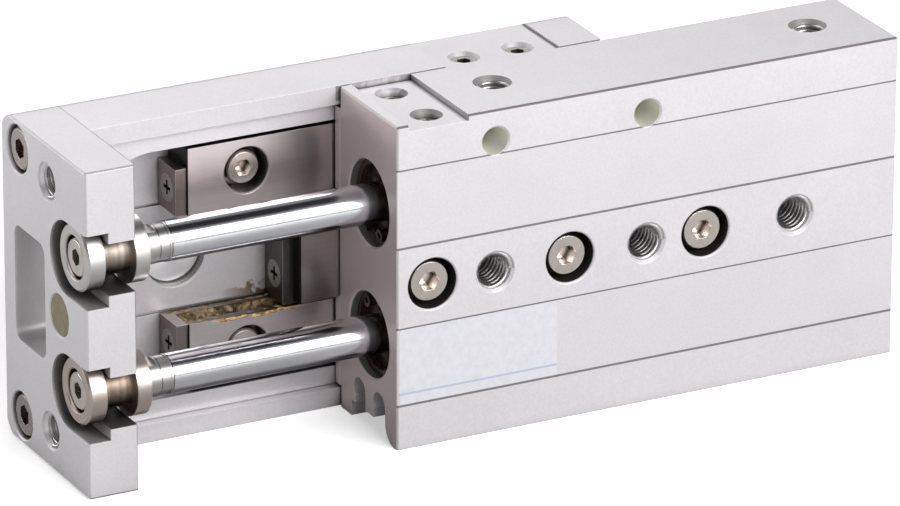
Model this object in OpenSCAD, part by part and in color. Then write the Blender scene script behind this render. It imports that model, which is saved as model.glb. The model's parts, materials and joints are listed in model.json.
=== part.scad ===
// Compact air slide table: a twin-bore cylinder body, two rods that push a channel-shaped
// table through floating bushes, and a crossed roller guide between the body and the table.
// Lengths are in millimetres. X runs along the stroke, Y from the body's front face to the
// table's back face, and Z across the two bores. The table is drawn fully extended.

/* [Travel] */
// Stroke of the table
stroke = 40; // [20:1:45]
// Gap between the end plate and the body when the table is in
closed_gap = 2.5; // [2:0.1:5]

/* [Body] */
// Length of the cylinder body
body_l = 88.7; // [85:0.1:110]
// Height of the body across the two bores
body_h = 54; // [53.5:0.1:60]
// Depth of the body where it faces the guide
body_back = 21.5; // [20.5:0.1:23]
// Depth of the relieved edges that face the table's rims
edge_back = 19.8; // [18:0.1:20]
// Height of each relieved edge
edge_h = 3.6; // [3:0.1:4.5]
// Depth of the two sunk bands on the front face
band_step = 0.15; // [0.1:0.05:0.4]
// Height of the lower edge of the lower band
band_low = 7.35; // [6:0.05:9]
// Height of the upper edge of the lower band
band_high = 20.3; // [18:0.1:21.5]
// Width of the rim left standing at the rod end, before that step
pad_in = 2; // [1.5:0.1:2.4]
// Length of the lowered pad at the rod end
pad_l = 12.4; // [12.2:0.1:13]
// Drop of the lowered pad
pad_drop = 1; // [0.5:0.1:1.5]
// Chamfer on the outer edges of body, table and end plate
edge_chamfer = 0.3; // [0.1:0.05:0.5]

/* [Bores] */
// Diameter of each cylinder bore
bore_d = 12; // [11.5:0.1:12.4]
// Distance between the two bores
bore_pitch = 22.1; // [21.8:0.1:23]
// Distance of the bores from the front face
bore_y = 9.9; // [9.5:0.1:10.5]
// Diameter of the wider mouth at each end of a bore
mouth_d = 14; // [13.6:0.1:14.6]
// Depth of the mouth at the rod end
mouth_depth = 8; // [6.5:0.1:10]
// Depth of the mouth at the head end
head_mouth_depth = 6.7; // [6.2:0.1:7]
// Thickness of the snap rings
ring_t = 1; // [0.8:0.1:1.2]
// Depth of the snap ring groove below the mouth's wall
ring_groove = 0.4; // [0.3:0.05:0.6]
// Distance of the snap rings from the end faces
ring_in = 1.6; // [1.2:0.1:2]

/* [Rods and pistons] */
// Diameter of the rods
rod_d = 6.4; // [5.5:0.1:6.6]
// Distance of a piston from the body's rod end with the table out
piston_in = 24.8; // [24:0.1:27]
// Length of a piston
piston_l = 11; // [10.5:0.1:12]
// Diameter of the rod's spigot inside the piston
spigot_d = 4; // [3.5:0.1:4.5]
// Depth to which a rod cover reaches into the bore
cover_reach = 19; // [16:0.1:19.4]
// Length of the head cap's nose
cap_nose = 1.2; // [0.8:0.1:1.4]
// Width of a piston seal groove
seal_w = 1.6; // [1.4:0.1:1.8]
// Depth of a piston seal groove
seal_depth = 1.3; // [1.1:0.1:1.5]
// Width of a piston magnet
magnet_w = 2.6; // [2:0.1:3]
// Width of the rod seal
rod_seal_w = 2.4; // [2:0.1:2.8]
// Radial thickness of the rod seal
rod_seal_t = 1.7; // [1.4:0.1:1.9]
// Cross-section of the static seal rings
oring_d = 1.1; // [0.9:0.05:1.2]
// Length of the spanner flats on a rod
flats_l = 2.4; // [2:0.1:3]
// Size across the spanner flats
flats_w = 5.2; // [4.9:0.1:5.4]
// Length of the turned band behind the flats
turned_l = 2; // [1.5:0.1:2.5]

/* [Table] */
// Length of the table
table_l = 88.8; // [87:0.1:95]
// Overall depth from the body's front to the table's back
overall_d = 35; // [34.6:0.1:37]
// Height of the channel between the table's rims
channel_h = 41.6; // [41:0.1:42]
// Radius of the channel's corners by the end plate
channel_r = 9; // [7:0.1:10]
// Radius of the table's two long back edges
back_r = 3.8; // [3:0.1:4.2]
// Length of the full-height pads at the table's free end
table_pad_l = 7.5; // [5:0.1:10]
// Depth of the relief beside those pads
table_relief = 0.5; // [0.3:0.1:0.8]
// Distance from the table's end plate side to the relief over the preload screws
relief_in = 61.2; // [58:0.1:62]
// Diameter of the round recess in the web
recess_d = 10.4; // [8:0.1:12]
// Depth of the round recess
recess_depth = 1.8; // [1:0.1:2.2]
// Distance of the recess from the table's end plate side
recess_in = 18.2; // [14:0.1:20]
// Distance of the first pair of table taps from the end plate side
table_tap_in = 14.6; // [13.5:0.1:16]
// Distance between the table taps along the stroke
table_tap_pitch_x = 50; // [49:0.5:52]
// Distance between the table taps across the table
table_tap_pitch_z = 36; // [35:0.5:38]
// Depth of the table taps
table_tap_depth = 5.2; // [4.5:0.1:5.5]
// Diameter of the table's locating holes
locating_d = 4; // [3:0.1:4.5]
// Depth of the locating holes
locating_depth = 4; // [3:0.1:4.2]

/* [End plate] */
// Thickness of the end plate
end_t = 8.4; // [7.8:0.1:9]
// Distance of the end plate's front face from the body's front face
end_front = 4.1; // [3:0.1:4.4]
// Width of the outer part of the rod slots
slot_wide = 12.2; // [12.1:0.1:12.6]
// Width of the inner part of the rod slots
slot_narrow = 8.6; // [8.5:0.1:9.6]
// Depth of the outer part of the rod slots
slot_step = 3.85; // [3.5:0.05:4]
// How far the slots' round ends lie behind the rods' axes
slot_in = 1.4; // [0:0.1:1.6]
// How far the slots' middle lies below the rods' axes
slot_drop = 0.6; // [0:0.05:0.6]
// Depth of the window from the plate's window front to its back
window_d = 11.3; // [9.8:0.1:11.6]
// Radius of the window's corners
window_r = 2; // [1:0.1:2.4]
// Distance of the plate taps from the body's front face
plate_tap_y = 18.1; // [17.4:0.1:18.3]
// Distance between the plate taps
plate_tap_pitch = 41.4; // [41:0.1:43]
// Distance of the plate screws from the body's front face
plate_screw_y = 29; // [28:0.1:30]
// Distance between the plate screws
plate_screw_pitch = 44.6; // [44:0.1:45.2]
// Diameter of the bumper's stem
bumper_d = 6.6; // [5.5:0.1:6.8]
// Distance of the bumper from the body's front face
bumper_y = 14.3; // [13.7:0.1:14.5]

/* [Floating bushes] */
// Diameter of the bush flanges
bush_flange_d = 10.8; // [10.2:0.1:11]
// Thickness of the outer flange
bush_outer_t = 2.9; // [2.8:0.1:3.1]
// Thickness of the inner flange
bush_inner_t = 2.4; // [2:0.1:3]
// Diameter of the neck
bush_neck_d = 7.1; // [6.6:0.1:7.2]
// End play of a bush in its slot
bush_play = 0.3; // [0.2:0.05:0.4]

/* [Roller guide] */
// Diameter of the crossed rollers
roller_d = 3; // [2.6:0.1:3.1]
// Length of the crossed rollers
roller_l = 2.8; // [2.4:0.1:2.9]
// Distance between neighbouring rollers
roller_pitch = 4.5; // [4:0.1:5]
// Distance of a cage from the rail's stop plate with the table out
cage_rail_gap = 2.8; // [1:0.1:8]
// Distance of a cage from the guide block's stop plate with the table out
cage_guide_gap = 0.8; // [0.4:0.1:4]
// Thickness of a roller cage
cage_t = 0.5; // [0.3:0.05:0.55]
// Length of the table's guide blocks
guide_l = 68; // [67:0.1:70]
// Depth of the guide blocks
guide_d = 6.8; // [6.2:0.1:7.2]
// Distance of the guide blocks from the table's end plate side
guide_in = 17.1; // [16.5:0.1:18]
// Length of the centre rail
rail_l = 73.4; // [72:0.1:76]
// Height of the centre rail
rail_h = 16.5; // [16:0.1:16.7]
// Length of the centre rail that stands out of the body
rail_out = 7; // [5:0.1:7.5]
// Depth to which the rail is let into the body
rail_seat = 1.5; // [0.8:0.1:1.6]
// Thickness of the stop plates
stop_t = 1.85; // [1.5:0.05:2]
// Depth of the stop plates
stop_w = 6.2; // [5.6:0.1:6.4]
// Height of a guide block's stop plate
guide_stop_h = 7.7; // [7.5:0.1:9]
// Length of the stop plates' screws
stop_screw_l = 4.6; // [4:0.1:5.5]
// Distance between the two screws of a rail stop plate
rail_stop_pitch = 9.4; // [8.4:0.1:9.8]

/* [Holes and screws] */
// Nominal diameter of the body's mounting taps
body_tap_d = 6; // [5:0.1:6.4]
// Depth of the body's mounting taps
body_tap_depth = 12; // [8:0.5:14]
// Distance of the first mounting tap from the rod end
body_tap_in = 17.1; // [16.5:0.1:17.4]
// Distance between the mounting taps
body_tap_pitch = 26.7; // [26.5:0.1:27]
// Diameter of the stepped side holes
side_hole_d = 4.5; // [4:0.1:4.8]
// Diameter of the inner part of the side holes
side_hole_inner = 3.4; // [2.5:0.1:3.8]
// Height of the side holes above the base
side_hole_z = 48.8; // [48.6:0.1:49.4]
// Nominal diameter of the air ports
port_d = 5; // [4:0.1:5.2]
// Depth of the air ports
port_depth = 7; // [5:0.1:7.5]
// Diameter of the air drillings below the ports
drill_d = 3; // [2:0.1:3.4]
// Distance of the rod side port from the rod end
port_in = 22.1; // [21.8:0.1:22.3]
// Distance of the head side port from the head end
port_out = 10.3; // [10:0.1:10.6]
// Distance of the ports from the front face
port_y = 11; // [10:0.1:12]
// Nominal diameter of the rail screws and plate screws
m4 = 4; // [3.6:0.1:4.2]
// Head diameter of the rail screws and plate screws
m4_head_d = 7; // [6.6:0.1:7.2]
// Distance of the first rail screw from the rod end
rail_screw_in = 6.2; // [5.8:0.05:6.4]
// Distance between the rail screws
rail_screw_pitch = 24.1; // [23.9:0.05:24.4]
// Nominal diameter of the guide block screws
m3 = 3; // [2.6:0.1:3.2]
// Head diameter of the guide block screws
m3_head_d = 5.7; // [5.3:0.1:5.9]
// Distance between the guide block screws
guide_screw_pitch = 23.7; // [23.4:0.1:24.6]
// Diameter of the stop plates' countersunk heads
stop_head_d = 4.4; // [4:0.1:4.7]
// Distance of the first preload screw from the table's end plate side
preload_in = 66.3; // [65:0.1:66.5]
// Distance between the preload screws
preload_pitch = 9.5; // [8:0.1:10]
// Distance of the preload screws from the body's front face
preload_y = 24; // [23.4:0.1:24.5]

/* [Clearances] */
// Radial running clearance of rods, pistons and rollers
run_gap = 0.04; // [0.02:0.01:0.08]
// Radial clearance of seated pieces and of screws in their threads
seat_gap = 0.05; // [0.02:0.01:0.08]
// Gap between the table's rims and the body
rim_gap = 0.5; // [0.3:0.05:0.6]
// Gap between a guide block and the channel's wall
guide_gap = 0.6; // [0.4:0.05:0.8]
// Gap between the centre rail and a guide block
guide_side_gap = 0.95; // [0.6:0.05:1.2]
// End play of a head cap in its mouth
cap_play = 0.45; // [0.1:0.05:0.6]
// Clearance of the moving rail in the end plate's window
window_gap = 0.6; // [0.4:0.05:0.8]
// Clearance around a cap screw's head in its counterbore
head_gap = 0.75; // [0.4:0.05:0.85]

/* [Hidden] */
$fn = 64;
eps = 0.01;                                   // how far a cut runs past a face
open_gap = stroke + closed_gap;
overall_l = end_t + open_gap + body_l;
mid_z = body_h / 2;
rim_front = edge_back + rim_gap;              // front of the table's outer rims
guide_front = body_back + rim_gap;            // front of the inner rims and guide blocks
rim_h = edge_h - rim_gap;                     // height of the table's outer rims
web_front = guide_front + guide_d;
web_t = overall_d - web_front;                // thickness of the table's web
guide_out = channel_h / 2 - guide_gap;        // outer side of a guide block from mid_z
guide_side = rail_h / 2 + guide_side_gap;     // inner side of a guide block from mid_z
guide_h = guide_out - guide_side;
rail_front = body_back - rail_seat;
rail_back_gap = 0.5;                          // running gap between rail and web
rail_back = web_front - rail_back_gap;
track_y = (guide_front + web_front) / 2 - 0.2;
track_z = (guide_side + rail_h / 2) / 2;      // roller centres from mid_z
track_half = (roller_d / 2 + run_gap) * sqrt(2);
table_x = -open_gap;                          // table's end plate side, table out
plate_x = table_x - end_t;
guide_x = table_x + guide_in;
rail_x = -rail_out;
cage_x = rail_x + cage_rail_gap;
cage_l = guide_x + guide_l - cage_guide_gap - cage_x;
rollers = floor((cage_l - roller_d) / roller_pitch) + 1;
roller_x = cage_x + (cage_l - (rollers - 1) * roller_pitch) / 2;
stop_web_gap = 0.3;
stop_front = web_front - stop_web_gap - stop_w;
rail_stop_half = guide_side - 0.2;            // rail stop plate passes the guide blocks
stop_hole = stop_screw_l - stop_t + 0.8;      // depth of the holes for the stop plates' screws
window_half = rail_stop_half + window_gap;
window_front = rail_front - window_gap;
bush_x = plate_x + slot_step - bush_play - bush_outer_t;
bush_neck_l = end_t - slot_step + 2 * bush_play;
rod_x = bush_x + bush_outer_t + bush_neck_l + bush_inner_t;
guide_screw_z = guide_side + guide_h / 2 + 0.3; // guide block screws from mid_z
guide_screw_end = 1.8;                        // from their tips to the table's back
guide_screw_x = guide_x + (guide_l - 2 * guide_screw_pitch) / 2;
m4_head_h = m4;
m4_sink = 1.2;                                // heads lie this far under the face
m4_clear_d = m4 + 0.5;
m3_head_h = m3;
m3_clear_d = m3 + 0.4;
plate_sink = 0.4;
plate_thread = 7;                             // thread of the plate screws in the table
m4_hex = 3;                                   // size across the sockets
m3_hex = 2.5;
plug_hex = 2;
plug_l = 4.5;
plug_sink = 1.2;
plug_hole = 6.6;
plug_spots = [[7.05, 16], [7.7, 5.3]];
switch_r = 2.1;                               // grooves for position switches
switch_z = 5.3;
switch_y = [6.3, 13.15];
skirt_t = 4.2;                                // lip along the front of the underside
skirt_r = 3.2;
foot_in = 15.9;                               // foot along the back of the underside
hollow_h = 2.6;
sides = [-1, 1];

// ---- placing and drilling -------------------------------------------------------------

// The model's zero is the centre of the footprint; the parts are drawn from the body's
// lower front corner at its rod end.
module placed() {
    translate([end_t + open_gap - overall_l / 2, -overall_d / 2, 0]) children();
}

// Extrudes a Y-Z outline along X from x.
module along_x(x, l) {
    translate([x, 0, 0]) rotate([90, 0, 90]) linear_extrude(l) children();
}

// Turns a shape drawn up the Z axis so that it points along X from x, y, z.
module facing_x(x, y, z) {
    translate([x, y, z]) rotate([0, 90, 0]) children();
}

// Turns a shape drawn up the Z axis so that it points along Y from x, y, z.
module facing_y(x, y, z) {
    translate([x, y, z]) rotate([-90, 0, 0]) children();
}

// A hole drilled from a mouth at z = 0 upwards, with a countersunk mouth.
module drilled(d, depth, lead = 0.4) {
    translate([0, 0, -eps]) cylinder(h = depth + eps, d = d);
    translate([0, 0, -eps]) cylinder(h = lead + eps, d1 = d + 2 * lead + 2 * eps, d2 = d);
}

// A round counterbore from z = 0 with a clearance hole behind it.
module counterbored(head_d, head_depth, hole_d, depth) {
    drilled(head_d, head_depth, 0.2);
    translate([0, 0, head_depth - eps]) cylinder(h = depth - head_depth + eps, d = hole_d);
}

// Waste outside a rounded corner, for the corner at the origin of the first quadrant.
module corner_waste(r) {
    difference() {
        translate([-eps, -eps]) square(r + eps);
        translate([r, r]) circle(r);
    }
}

// A 45 degree cut along an edge of length l that runs up Z at the origin.
module edge_cut(l) {
    rotate([0, 0, 45]) translate([0, 0, l / 2])
        cube([edge_chamfer * sqrt(2), edge_chamfer * sqrt(2), l + 2], center = true);
}

// ---- screws -----------------------------------------------------------------------------

// Socket head cap screw: the head stands up from z = 0 and the shank hangs below it.
module cap_screw(d, l, head_d, head_h, hex) {
    lead = 0.35;
    difference() {
        union() {
            cylinder(h = head_h - lead, d = head_d);
            translate([0, 0, head_h - lead]) cylinder(h = lead, d1 = head_d, d2 = head_d - 2 * lead);
            translate([0, 0, -l + lead]) cylinder(h = l - lead + eps, d = d);
            translate([0, 0, -l]) cylinder(h = lead + eps, d1 = d - 2 * lead, d2 = d);
        }
        translate([0, 0, head_h * 0.4]) cylinder(h = head_h, d = hex * 2 / sqrt(3), $fn = 6);
    }
}

// Headless set screw, its socket at the top face z = 0.
module set_screw(d, l, hex) {
    difference() {
        translate([0, 0, -l]) cylinder(h = l, d = d);
        translate([0, 0, -l / 2]) cylinder(h = l, d = hex * 2 / sqrt(3), $fn = 6);
    }
}

// Countersunk screw with a cross recess, its head flush with z = 0.
module flat_screw(d, l, head_d) {
    cone = (head_d - d) / 2;
    difference() {
        union() {
            translate([0, 0, -cone]) cylinder(h = cone, d1 = d, d2 = head_d);
            translate([0, 0, -l]) cylinder(h = l - cone + eps, d = d);
        }
        for (turn = [0, 90])
            rotate([0, 0, turn]) translate([-head_d * 0.28, -0.3, -0.8])
                cube([head_d * 0.56, 0.6, 1]);
    }
}

// ---- cylinder body ----------------------------------------------------------------------

// Outline of the body in Y and Z: banded front, relieved back edges, switch grooves below.
module body_outline() {
    top = body_h;
    difference() {
        polygon([
            [0, 0], [edge_back, 0], [edge_back, edge_h], [body_back, edge_h],
            [body_back, top - edge_h], [edge_back, top - edge_h], [edge_back, top], [0, top],
            [0, top - band_low], [band_step, top - band_low],
            [band_step, top - band_high], [0, top - band_high],
            [0, band_high], [band_step, band_high], [band_step, band_low], [0, band_low]
        ]);
        translate([rail_front, mid_z - rail_h / 2 - seat_gap])
            square([rail_seat + eps, rail_h + 2 * seat_gap]);
        translate([skirt_t, -eps]) square([foot_in - skirt_t, hollow_h + eps]);
        translate([skirt_t, 0]) mirror([1, 0]) corner_waste(skirt_r);
        for (y = switch_y) translate([y, switch_z]) circle(switch_r);
        translate([switch_y[0] - switch_r, hollow_h - eps]) square([switch_r * 1.87, switch_z - hollow_h]);
        translate([switch_y[1] - switch_r, hollow_h - eps]) square([switch_r * 1.72, switch_z - hollow_h]);
    }
}

// One stepped bore with the snap ring grooves at both of its mouths.
module body_bore(z) {
    facing_x(-eps, bore_y, z) cylinder(h = body_l + 2 * eps, d = bore_d);
    facing_x(0, bore_y, z) drilled(mouth_d, mouth_depth, 0.3);
    facing_x(body_l, bore_y, z) mirror([0, 0, 1]) drilled(mouth_d, head_mouth_depth, 0.3);
    for (x = [ring_in - seat_gap, body_l - ring_in - ring_t - seat_gap])
        facing_x(x, bore_y, z) cylinder(h = ring_t + 2 * seat_gap, d = mouth_d + 2 * ring_groove);
}

// One air port in the top with its drilling across both bores.
module air_port(x) {
    translate([x, port_y, body_h]) mirror([0, 0, 1]) {
        drilled(port_d, port_depth, 0.6);
        cylinder(h = body_h / 2 + bore_pitch / 2, d = drill_d);
    }
}

module cylinder_body() {
    color("gainsboro") placed() difference() {
        along_x(0, body_l) body_outline();
        translate([pad_in, -1, body_h - pad_drop]) cube([pad_l - pad_in, edge_back + 2, pad_drop + 1]);
        for (side = sides) body_bore(mid_z + side * bore_pitch / 2);
        for (n = [0:2]) {
            facing_y(rail_screw_in + n * rail_screw_pitch, 0, mid_z)
                counterbored(m4_head_d + 2 * head_gap, m4_sink + m4_head_h, m4_clear_d, body_back);
            facing_y(body_tap_in + n * body_tap_pitch, 0, mid_z)
                drilled(body_tap_d, body_tap_depth, 0.5);
        }
        for (n = [0:1]) facing_y(body_tap_in + n * body_tap_pitch, 0, side_hole_z) {
            drilled(side_hole_d, body_back / 2, 0.3);
            cylinder(h = body_back + eps, d = side_hole_inner);
        }
        for (x = [port_in, body_l - port_out]) air_port(x);
        for (spot = plug_spots)
            translate([spot[0], spot[1], body_h - pad_drop]) mirror([0, 0, 1]) drilled(m4, plug_hole, 0.6);
        for (x = [0, body_l], y = [0, edge_back]) translate([x, y, 0]) edge_cut(body_h);
        translate([0, 0, body_h]) rotate([0, 90, 0]) edge_cut(body_l);
        for (x = [0, body_l]) translate([x, 0, body_h]) rotate([-90, 0, 0]) edge_cut(edge_back);
    }
}

// Places a shape once on each bore's axis, pointing along X from x.
module on_bores(x) {
    for (side = sides) facing_x(x, bore_y, mid_z + side * bore_pitch / 2) children();
}

cover_x = ring_in + ring_t + seat_gap;        // outer face of the rod covers
cap_x = body_l - cover_x;                     // outer face of the head caps
cap_rim = head_mouth_depth - cover_x - cap_play; // length of a head cap's wide part

// Groove turned into a round piece for a static seal ring, at z.
module seal_groove(outer_d, z) {
    translate([0, 0, z]) difference() {
        cylinder(h = oring_d + 0.3, d = outer_d + 1);
        translate([0, 0, -eps]) cylinder(h = oring_d + 0.3 + 2 * eps, d = outer_d - 2 * oring_d);
    }
}

// Static seal ring for the same groove.
module seal_ring(outer_d, z) {
    translate([0, 0, z + oring_d / 2 + 0.15]) rotate_extrude()
        translate([outer_d / 2 - oring_d / 2 - eps, 0]) circle(d = oring_d - 0.04, $fn = 32);
}

rim_seal_z = 1.2;                             // seal ring's place from a cover's face

module rod_covers() {
    rim_d = mouth_d - 2 * seat_gap;
    color("silver") placed() on_bores(cover_x) difference() {
        union() {
            cylinder(h = mouth_depth - cover_x - seat_gap, d = rim_d);
            cylinder(h = cover_reach - cover_x, d = bore_d - 2 * seat_gap);
        }
        translate([0, 0, -eps]) cylinder(h = cover_reach, d = rod_d + 2 * run_gap);
        translate([0, 0, -eps]) cylinder(h = 0.8, d1 = rod_d + 2, d2 = rod_d + 2 * run_gap);
        translate([0, 0, 2]) cylinder(h = rod_seal_w, d = rod_d + 2 * rod_seal_t);
        seal_groove(bore_d - 2 * seat_gap, cover_reach - cover_x - 4);
    }
}

module rod_seals() {
    color("dimgray") placed() on_bores(cover_x + 2 + seat_gap) difference() {
        cylinder(h = rod_seal_w - 2 * seat_gap, d = rod_d + 2 * rod_seal_t - 2 * seat_gap);
        translate([0, 0, -eps]) cylinder(h = rod_seal_w, d = rod_d + 2 * run_gap);
    }
}

module rod_cover_seals() {
    color("black") placed() on_bores(cover_x) seal_ring(bore_d - 2 * seat_gap, cover_reach - cover_x - 4);
}

module head_caps() {
    color("silver") placed() on_bores(cap_x) mirror([0, 0, 1]) difference() {
        union() {
            cylinder(h = cap_rim, d = mouth_d - 2 * seat_gap);
            cylinder(h = cap_rim + cap_nose, d = bore_d - 2 * seat_gap);
        }
        translate([0, 0, -eps]) cylinder(h = 1.2, d = bore_d / 2);
        seal_groove(mouth_d - 2 * seat_gap, rim_seal_z);
    }
}

module head_cap_seals() {
    color("black") placed() on_bores(cap_x) mirror([0, 0, 1]) seal_ring(mouth_d - 2 * seat_gap, rim_seal_z);
}

// Internal snap ring drawn from z = 0, with its two eyes at the +X side.
module snap_ring() {
    outer_r = mouth_d / 2 + ring_groove - seat_gap;
    band = 1.1;
    eye_r = 1.05;
    eye_at = outer_r - ring_groove - eye_r - 0.25;
    linear_extrude(ring_t) difference() {
        union() {
            difference() {
                circle(outer_r);
                translate([0.25, 0]) circle(outer_r - band);
                translate([outer_r - 1.6, -1.5]) square([3, 3]);
            }
            for (turn = [-24, 24]) rotate(turn) {
                translate([eye_at, 0]) circle(eye_r);
                translate([eye_at, -eye_r * 0.8]) square([outer_r - eye_at - 0.35, eye_r * 1.6]);
            }
        }
        for (turn = [-24, 24]) rotate(turn) translate([eye_at, 0]) circle(0.5, $fn = 24);
    }
}

// Snap rings at x, the lower one with its eyes up and the upper one with its eyes down.
module snap_rings(x) {
    for (side = sides)
        facing_x(x, bore_y, mid_z + side * bore_pitch / 2) rotate([0, 0, side > 0 ? 20 : 160]) snap_ring();
}

module rod_cover_rings() {
    color("slategray") placed() snap_rings(ring_in);
}

module head_cap_rings() {
    color("slategray") placed() snap_rings(body_l - ring_in - ring_t);
}

module passage_plugs() {
    color("darkgray") placed() for (spot = plug_spots)
        translate([spot[0], spot[1], body_h - pad_drop - plug_sink])
            set_screw(m4 - 2 * seat_gap, plug_l, plug_hex);
}

// ---- crossed roller guide -----------------------------------------------------------------

// The square track that the V grooves of a rail and a guide block form together.
module track(x, l, side) {
    along_x(x, l) translate([track_y, mid_z + side * track_z]) rotate(45)
        square(track_half * sqrt(2), center = true);
}

module centre_rail() {
    color("rosybrown") placed() difference() {
        along_x(rail_x, rail_l) translate([rail_front, mid_z - rail_h / 2])
            square([rail_back - rail_front, rail_h]);
        for (side = sides) track(rail_x - 1, rail_l + 2, side);
        for (n = [0:2]) facing_y(rail_screw_in + n * rail_screw_pitch, rail_front, mid_z)
            drilled(m4, rail_back - rail_front - 1, 0.3);
        for (end = [0, 1], side = sides)
            facing_x(rail_x + end * rail_l, stop_front + stop_w / 2, mid_z + side * rail_stop_pitch / 2)
                mirror([0, 0, end]) drilled(2, stop_hole, 0.2);
    }
}

module rail_screws() {
    reach = rail_back - 1.5 - m4_sink - m4_head_h;
    color("lightgray") placed() for (n = [0:2])
        translate([rail_screw_in + n * rail_screw_pitch, m4_sink + m4_head_h, mid_z]) rotate([90, 0, 0])
            cap_screw(m4 - 2 * seat_gap, reach, m4_head_d, m4_head_h, m4_hex);
}

// A guide block, drawn for the upper side and mirrored for the lower one.
module guide_block(side) {
    translate([0, 0, mid_z]) mirror([0, 0, side < 0 ? 1 : 0]) translate([0, 0, -mid_z]) difference() {
        along_x(guide_x, guide_l) translate([guide_front, mid_z + guide_side])
            square([web_front - guide_front, guide_h]);
        track(guide_x - 1, guide_l + 2, 1);
        for (n = [0:2]) facing_y(guide_screw_x + n * guide_screw_pitch, guide_front, mid_z + guide_screw_z)
            counterbored(m3_head_d + 2 * head_gap + 0.4, m4_sink + m3_head_h, m3_clear_d, 20);
        for (end = [0, 1])
            facing_x(guide_x + end * guide_l, stop_front + stop_w / 2, mid_z + guide_side + guide_stop_h / 2)
                mirror([0, 0, end]) drilled(2, stop_hole, 0.2);
    }
}

module upper_guide() {
    color("rosybrown") placed() guide_block(1);
}

module lower_guide() {
    color("rosybrown") placed() guide_block(-1);
}

module guide_screws() {
    color("lightgray") placed() for (side = sides, n = [0:2])
        translate([guide_screw_x + n * guide_screw_pitch, guide_front + m4_sink + m3_head_h,
                   mid_z + side * guide_screw_z])
            rotate([90, 0, 0])
                cap_screw(m3 - 2 * seat_gap, overall_d - guide_screw_end - guide_front - m4_sink - m3_head_h,
                          m3_head_d, m3_head_h, m3_hex);
}

// A stop plate with countersunk holes at the heights spots, its outer face at x and its
// thickness towards inward.
module stop_plate(x, z, h, inward, spots) {
    y = stop_front + stop_w / 2;
    cone = (stop_head_d - 2) / 2;
    facing_x(x, y, z) mirror([0, 0, inward < 0 ? 1 : 0]) difference() {
        translate([-h / 2, -stop_w / 2, 0]) cube([h, stop_w, stop_t]);
        for (spot = spots) translate([spot, 0, -eps]) {
            cylinder(h = stop_t + 2 * eps, d = 2.3);
            cylinder(h = cone + eps + seat_gap, d1 = stop_head_d + 2 * seat_gap, d2 = 2.2);
        }
    }
}

// The matching screw, flush with the outer face of the plate.
module stop_screw(x, z, inward) {
    facing_x(x, stop_front + stop_w / 2, z) mirror([0, 0, inward < 0 ? 0 : 1])
        flat_screw(2 - 2 * seat_gap, stop_screw_l, stop_head_d);
}

module rail_stop_plates() {
    color("gray") placed() {
        spots = sides * rail_stop_pitch / 2;
        stop_plate(rail_x - stop_t, mid_z, 2 * rail_stop_half, 1, spots);
        stop_plate(rail_x + rail_l + stop_t, mid_z, 2 * rail_stop_half, -1, spots);
    }
}

module rail_stop_screws() {
    color("darkgray") placed() for (side = sides) {
        z = mid_z + side * rail_stop_pitch / 2;
        stop_screw(rail_x - stop_t, z, 1);
        stop_screw(rail_x + rail_l + stop_t, z, -1);
    }
}

module guide_stop_plates() {
    color("gray") placed() for (side = sides) {
        z = mid_z + side * (guide_side + guide_stop_h / 2);
        stop_plate(guide_x - stop_t, z, guide_stop_h, 1, [0]);
        stop_plate(guide_x + guide_l + stop_t, z, guide_stop_h, -1, [0]);
    }
}

module guide_stop_screws() {
    color("darkgray") placed() for (side = sides) {
        z = mid_z + side * (guide_side + guide_stop_h / 2);
        stop_screw(guide_x - stop_t, z, 1);
        stop_screw(guide_x + guide_l + stop_t, z, -1);
    }
}

// The thin strip that keeps the rollers apart, with a window for each.
module roller_cage(side) {
    window_x = roller_d + 2 * run_gap;
    window_y = (roller_d + roller_l) / sqrt(2) + 0.4;
    strip_w = window_y + 1.4;
    color("goldenrod") placed() translate([0, track_y, mid_z + side * track_z]) difference() {
        translate([cage_x, -strip_w / 2, -cage_t / 2]) cube([cage_l, strip_w, cage_t]);
        for (n = [0:rollers - 1])
            translate([roller_x + n * roller_pitch, 0, 0]) cube([window_x, window_y, cage_t + 1], center = true);
    }
}

// The rollers of one track; every second one leans the other way.
module roller_row(side) {
    color("whitesmoke") placed() for (n = [0:rollers - 1])
        translate([roller_x + n * roller_pitch, track_y, mid_z + side * track_z])
            rotate([n % 2 == 0 ? 45 : -45, 0, 0]) cylinder(h = roller_l, d = roller_d, center = true);
}

module upper_cage() {
    roller_cage(1);
}

module upper_rollers() {
    roller_row(1);
}

module lower_cage() {
    roller_cage(-1);
}

module lower_rollers() {
    roller_row(-1);
}

// ---- table --------------------------------------------------------------------------------

// Outline of the table in Y and Z, with stepped rims and two rounded back edges.
module table_outline() {
    top = body_h;
    difference() {
        polygon([
            [rim_front, 0], [overall_d, 0], [overall_d, top], [rim_front, top],
            [rim_front, top - rim_h], [guide_front, top - rim_h],
            [guide_front, rim_h], [rim_front, rim_h]
        ]);
        translate([overall_d, 0]) mirror([1, 0]) corner_waste(back_r);
        translate([overall_d, body_h]) mirror([1, 0]) mirror([0, 1]) corner_waste(back_r);
    }
}

// The channel that holds the guide, drawn in X and Z: round corners by the end plate.
module channel_outline() {
    half = channel_h / 2;
    neck = guide_side + 1.8;
    r = channel_r;
    translate([table_x - 1, -neck]) square([r + 4, 2 * neck]);
    translate([table_x + 2 + r, -half]) square([table_l, channel_h]);
    for (side = sides) translate([table_x + 2 + r, side * (half - r)]) circle(r);
    translate([table_x + 2, -half + r]) square([r + 1, channel_h - 2 * r]);
}

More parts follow.
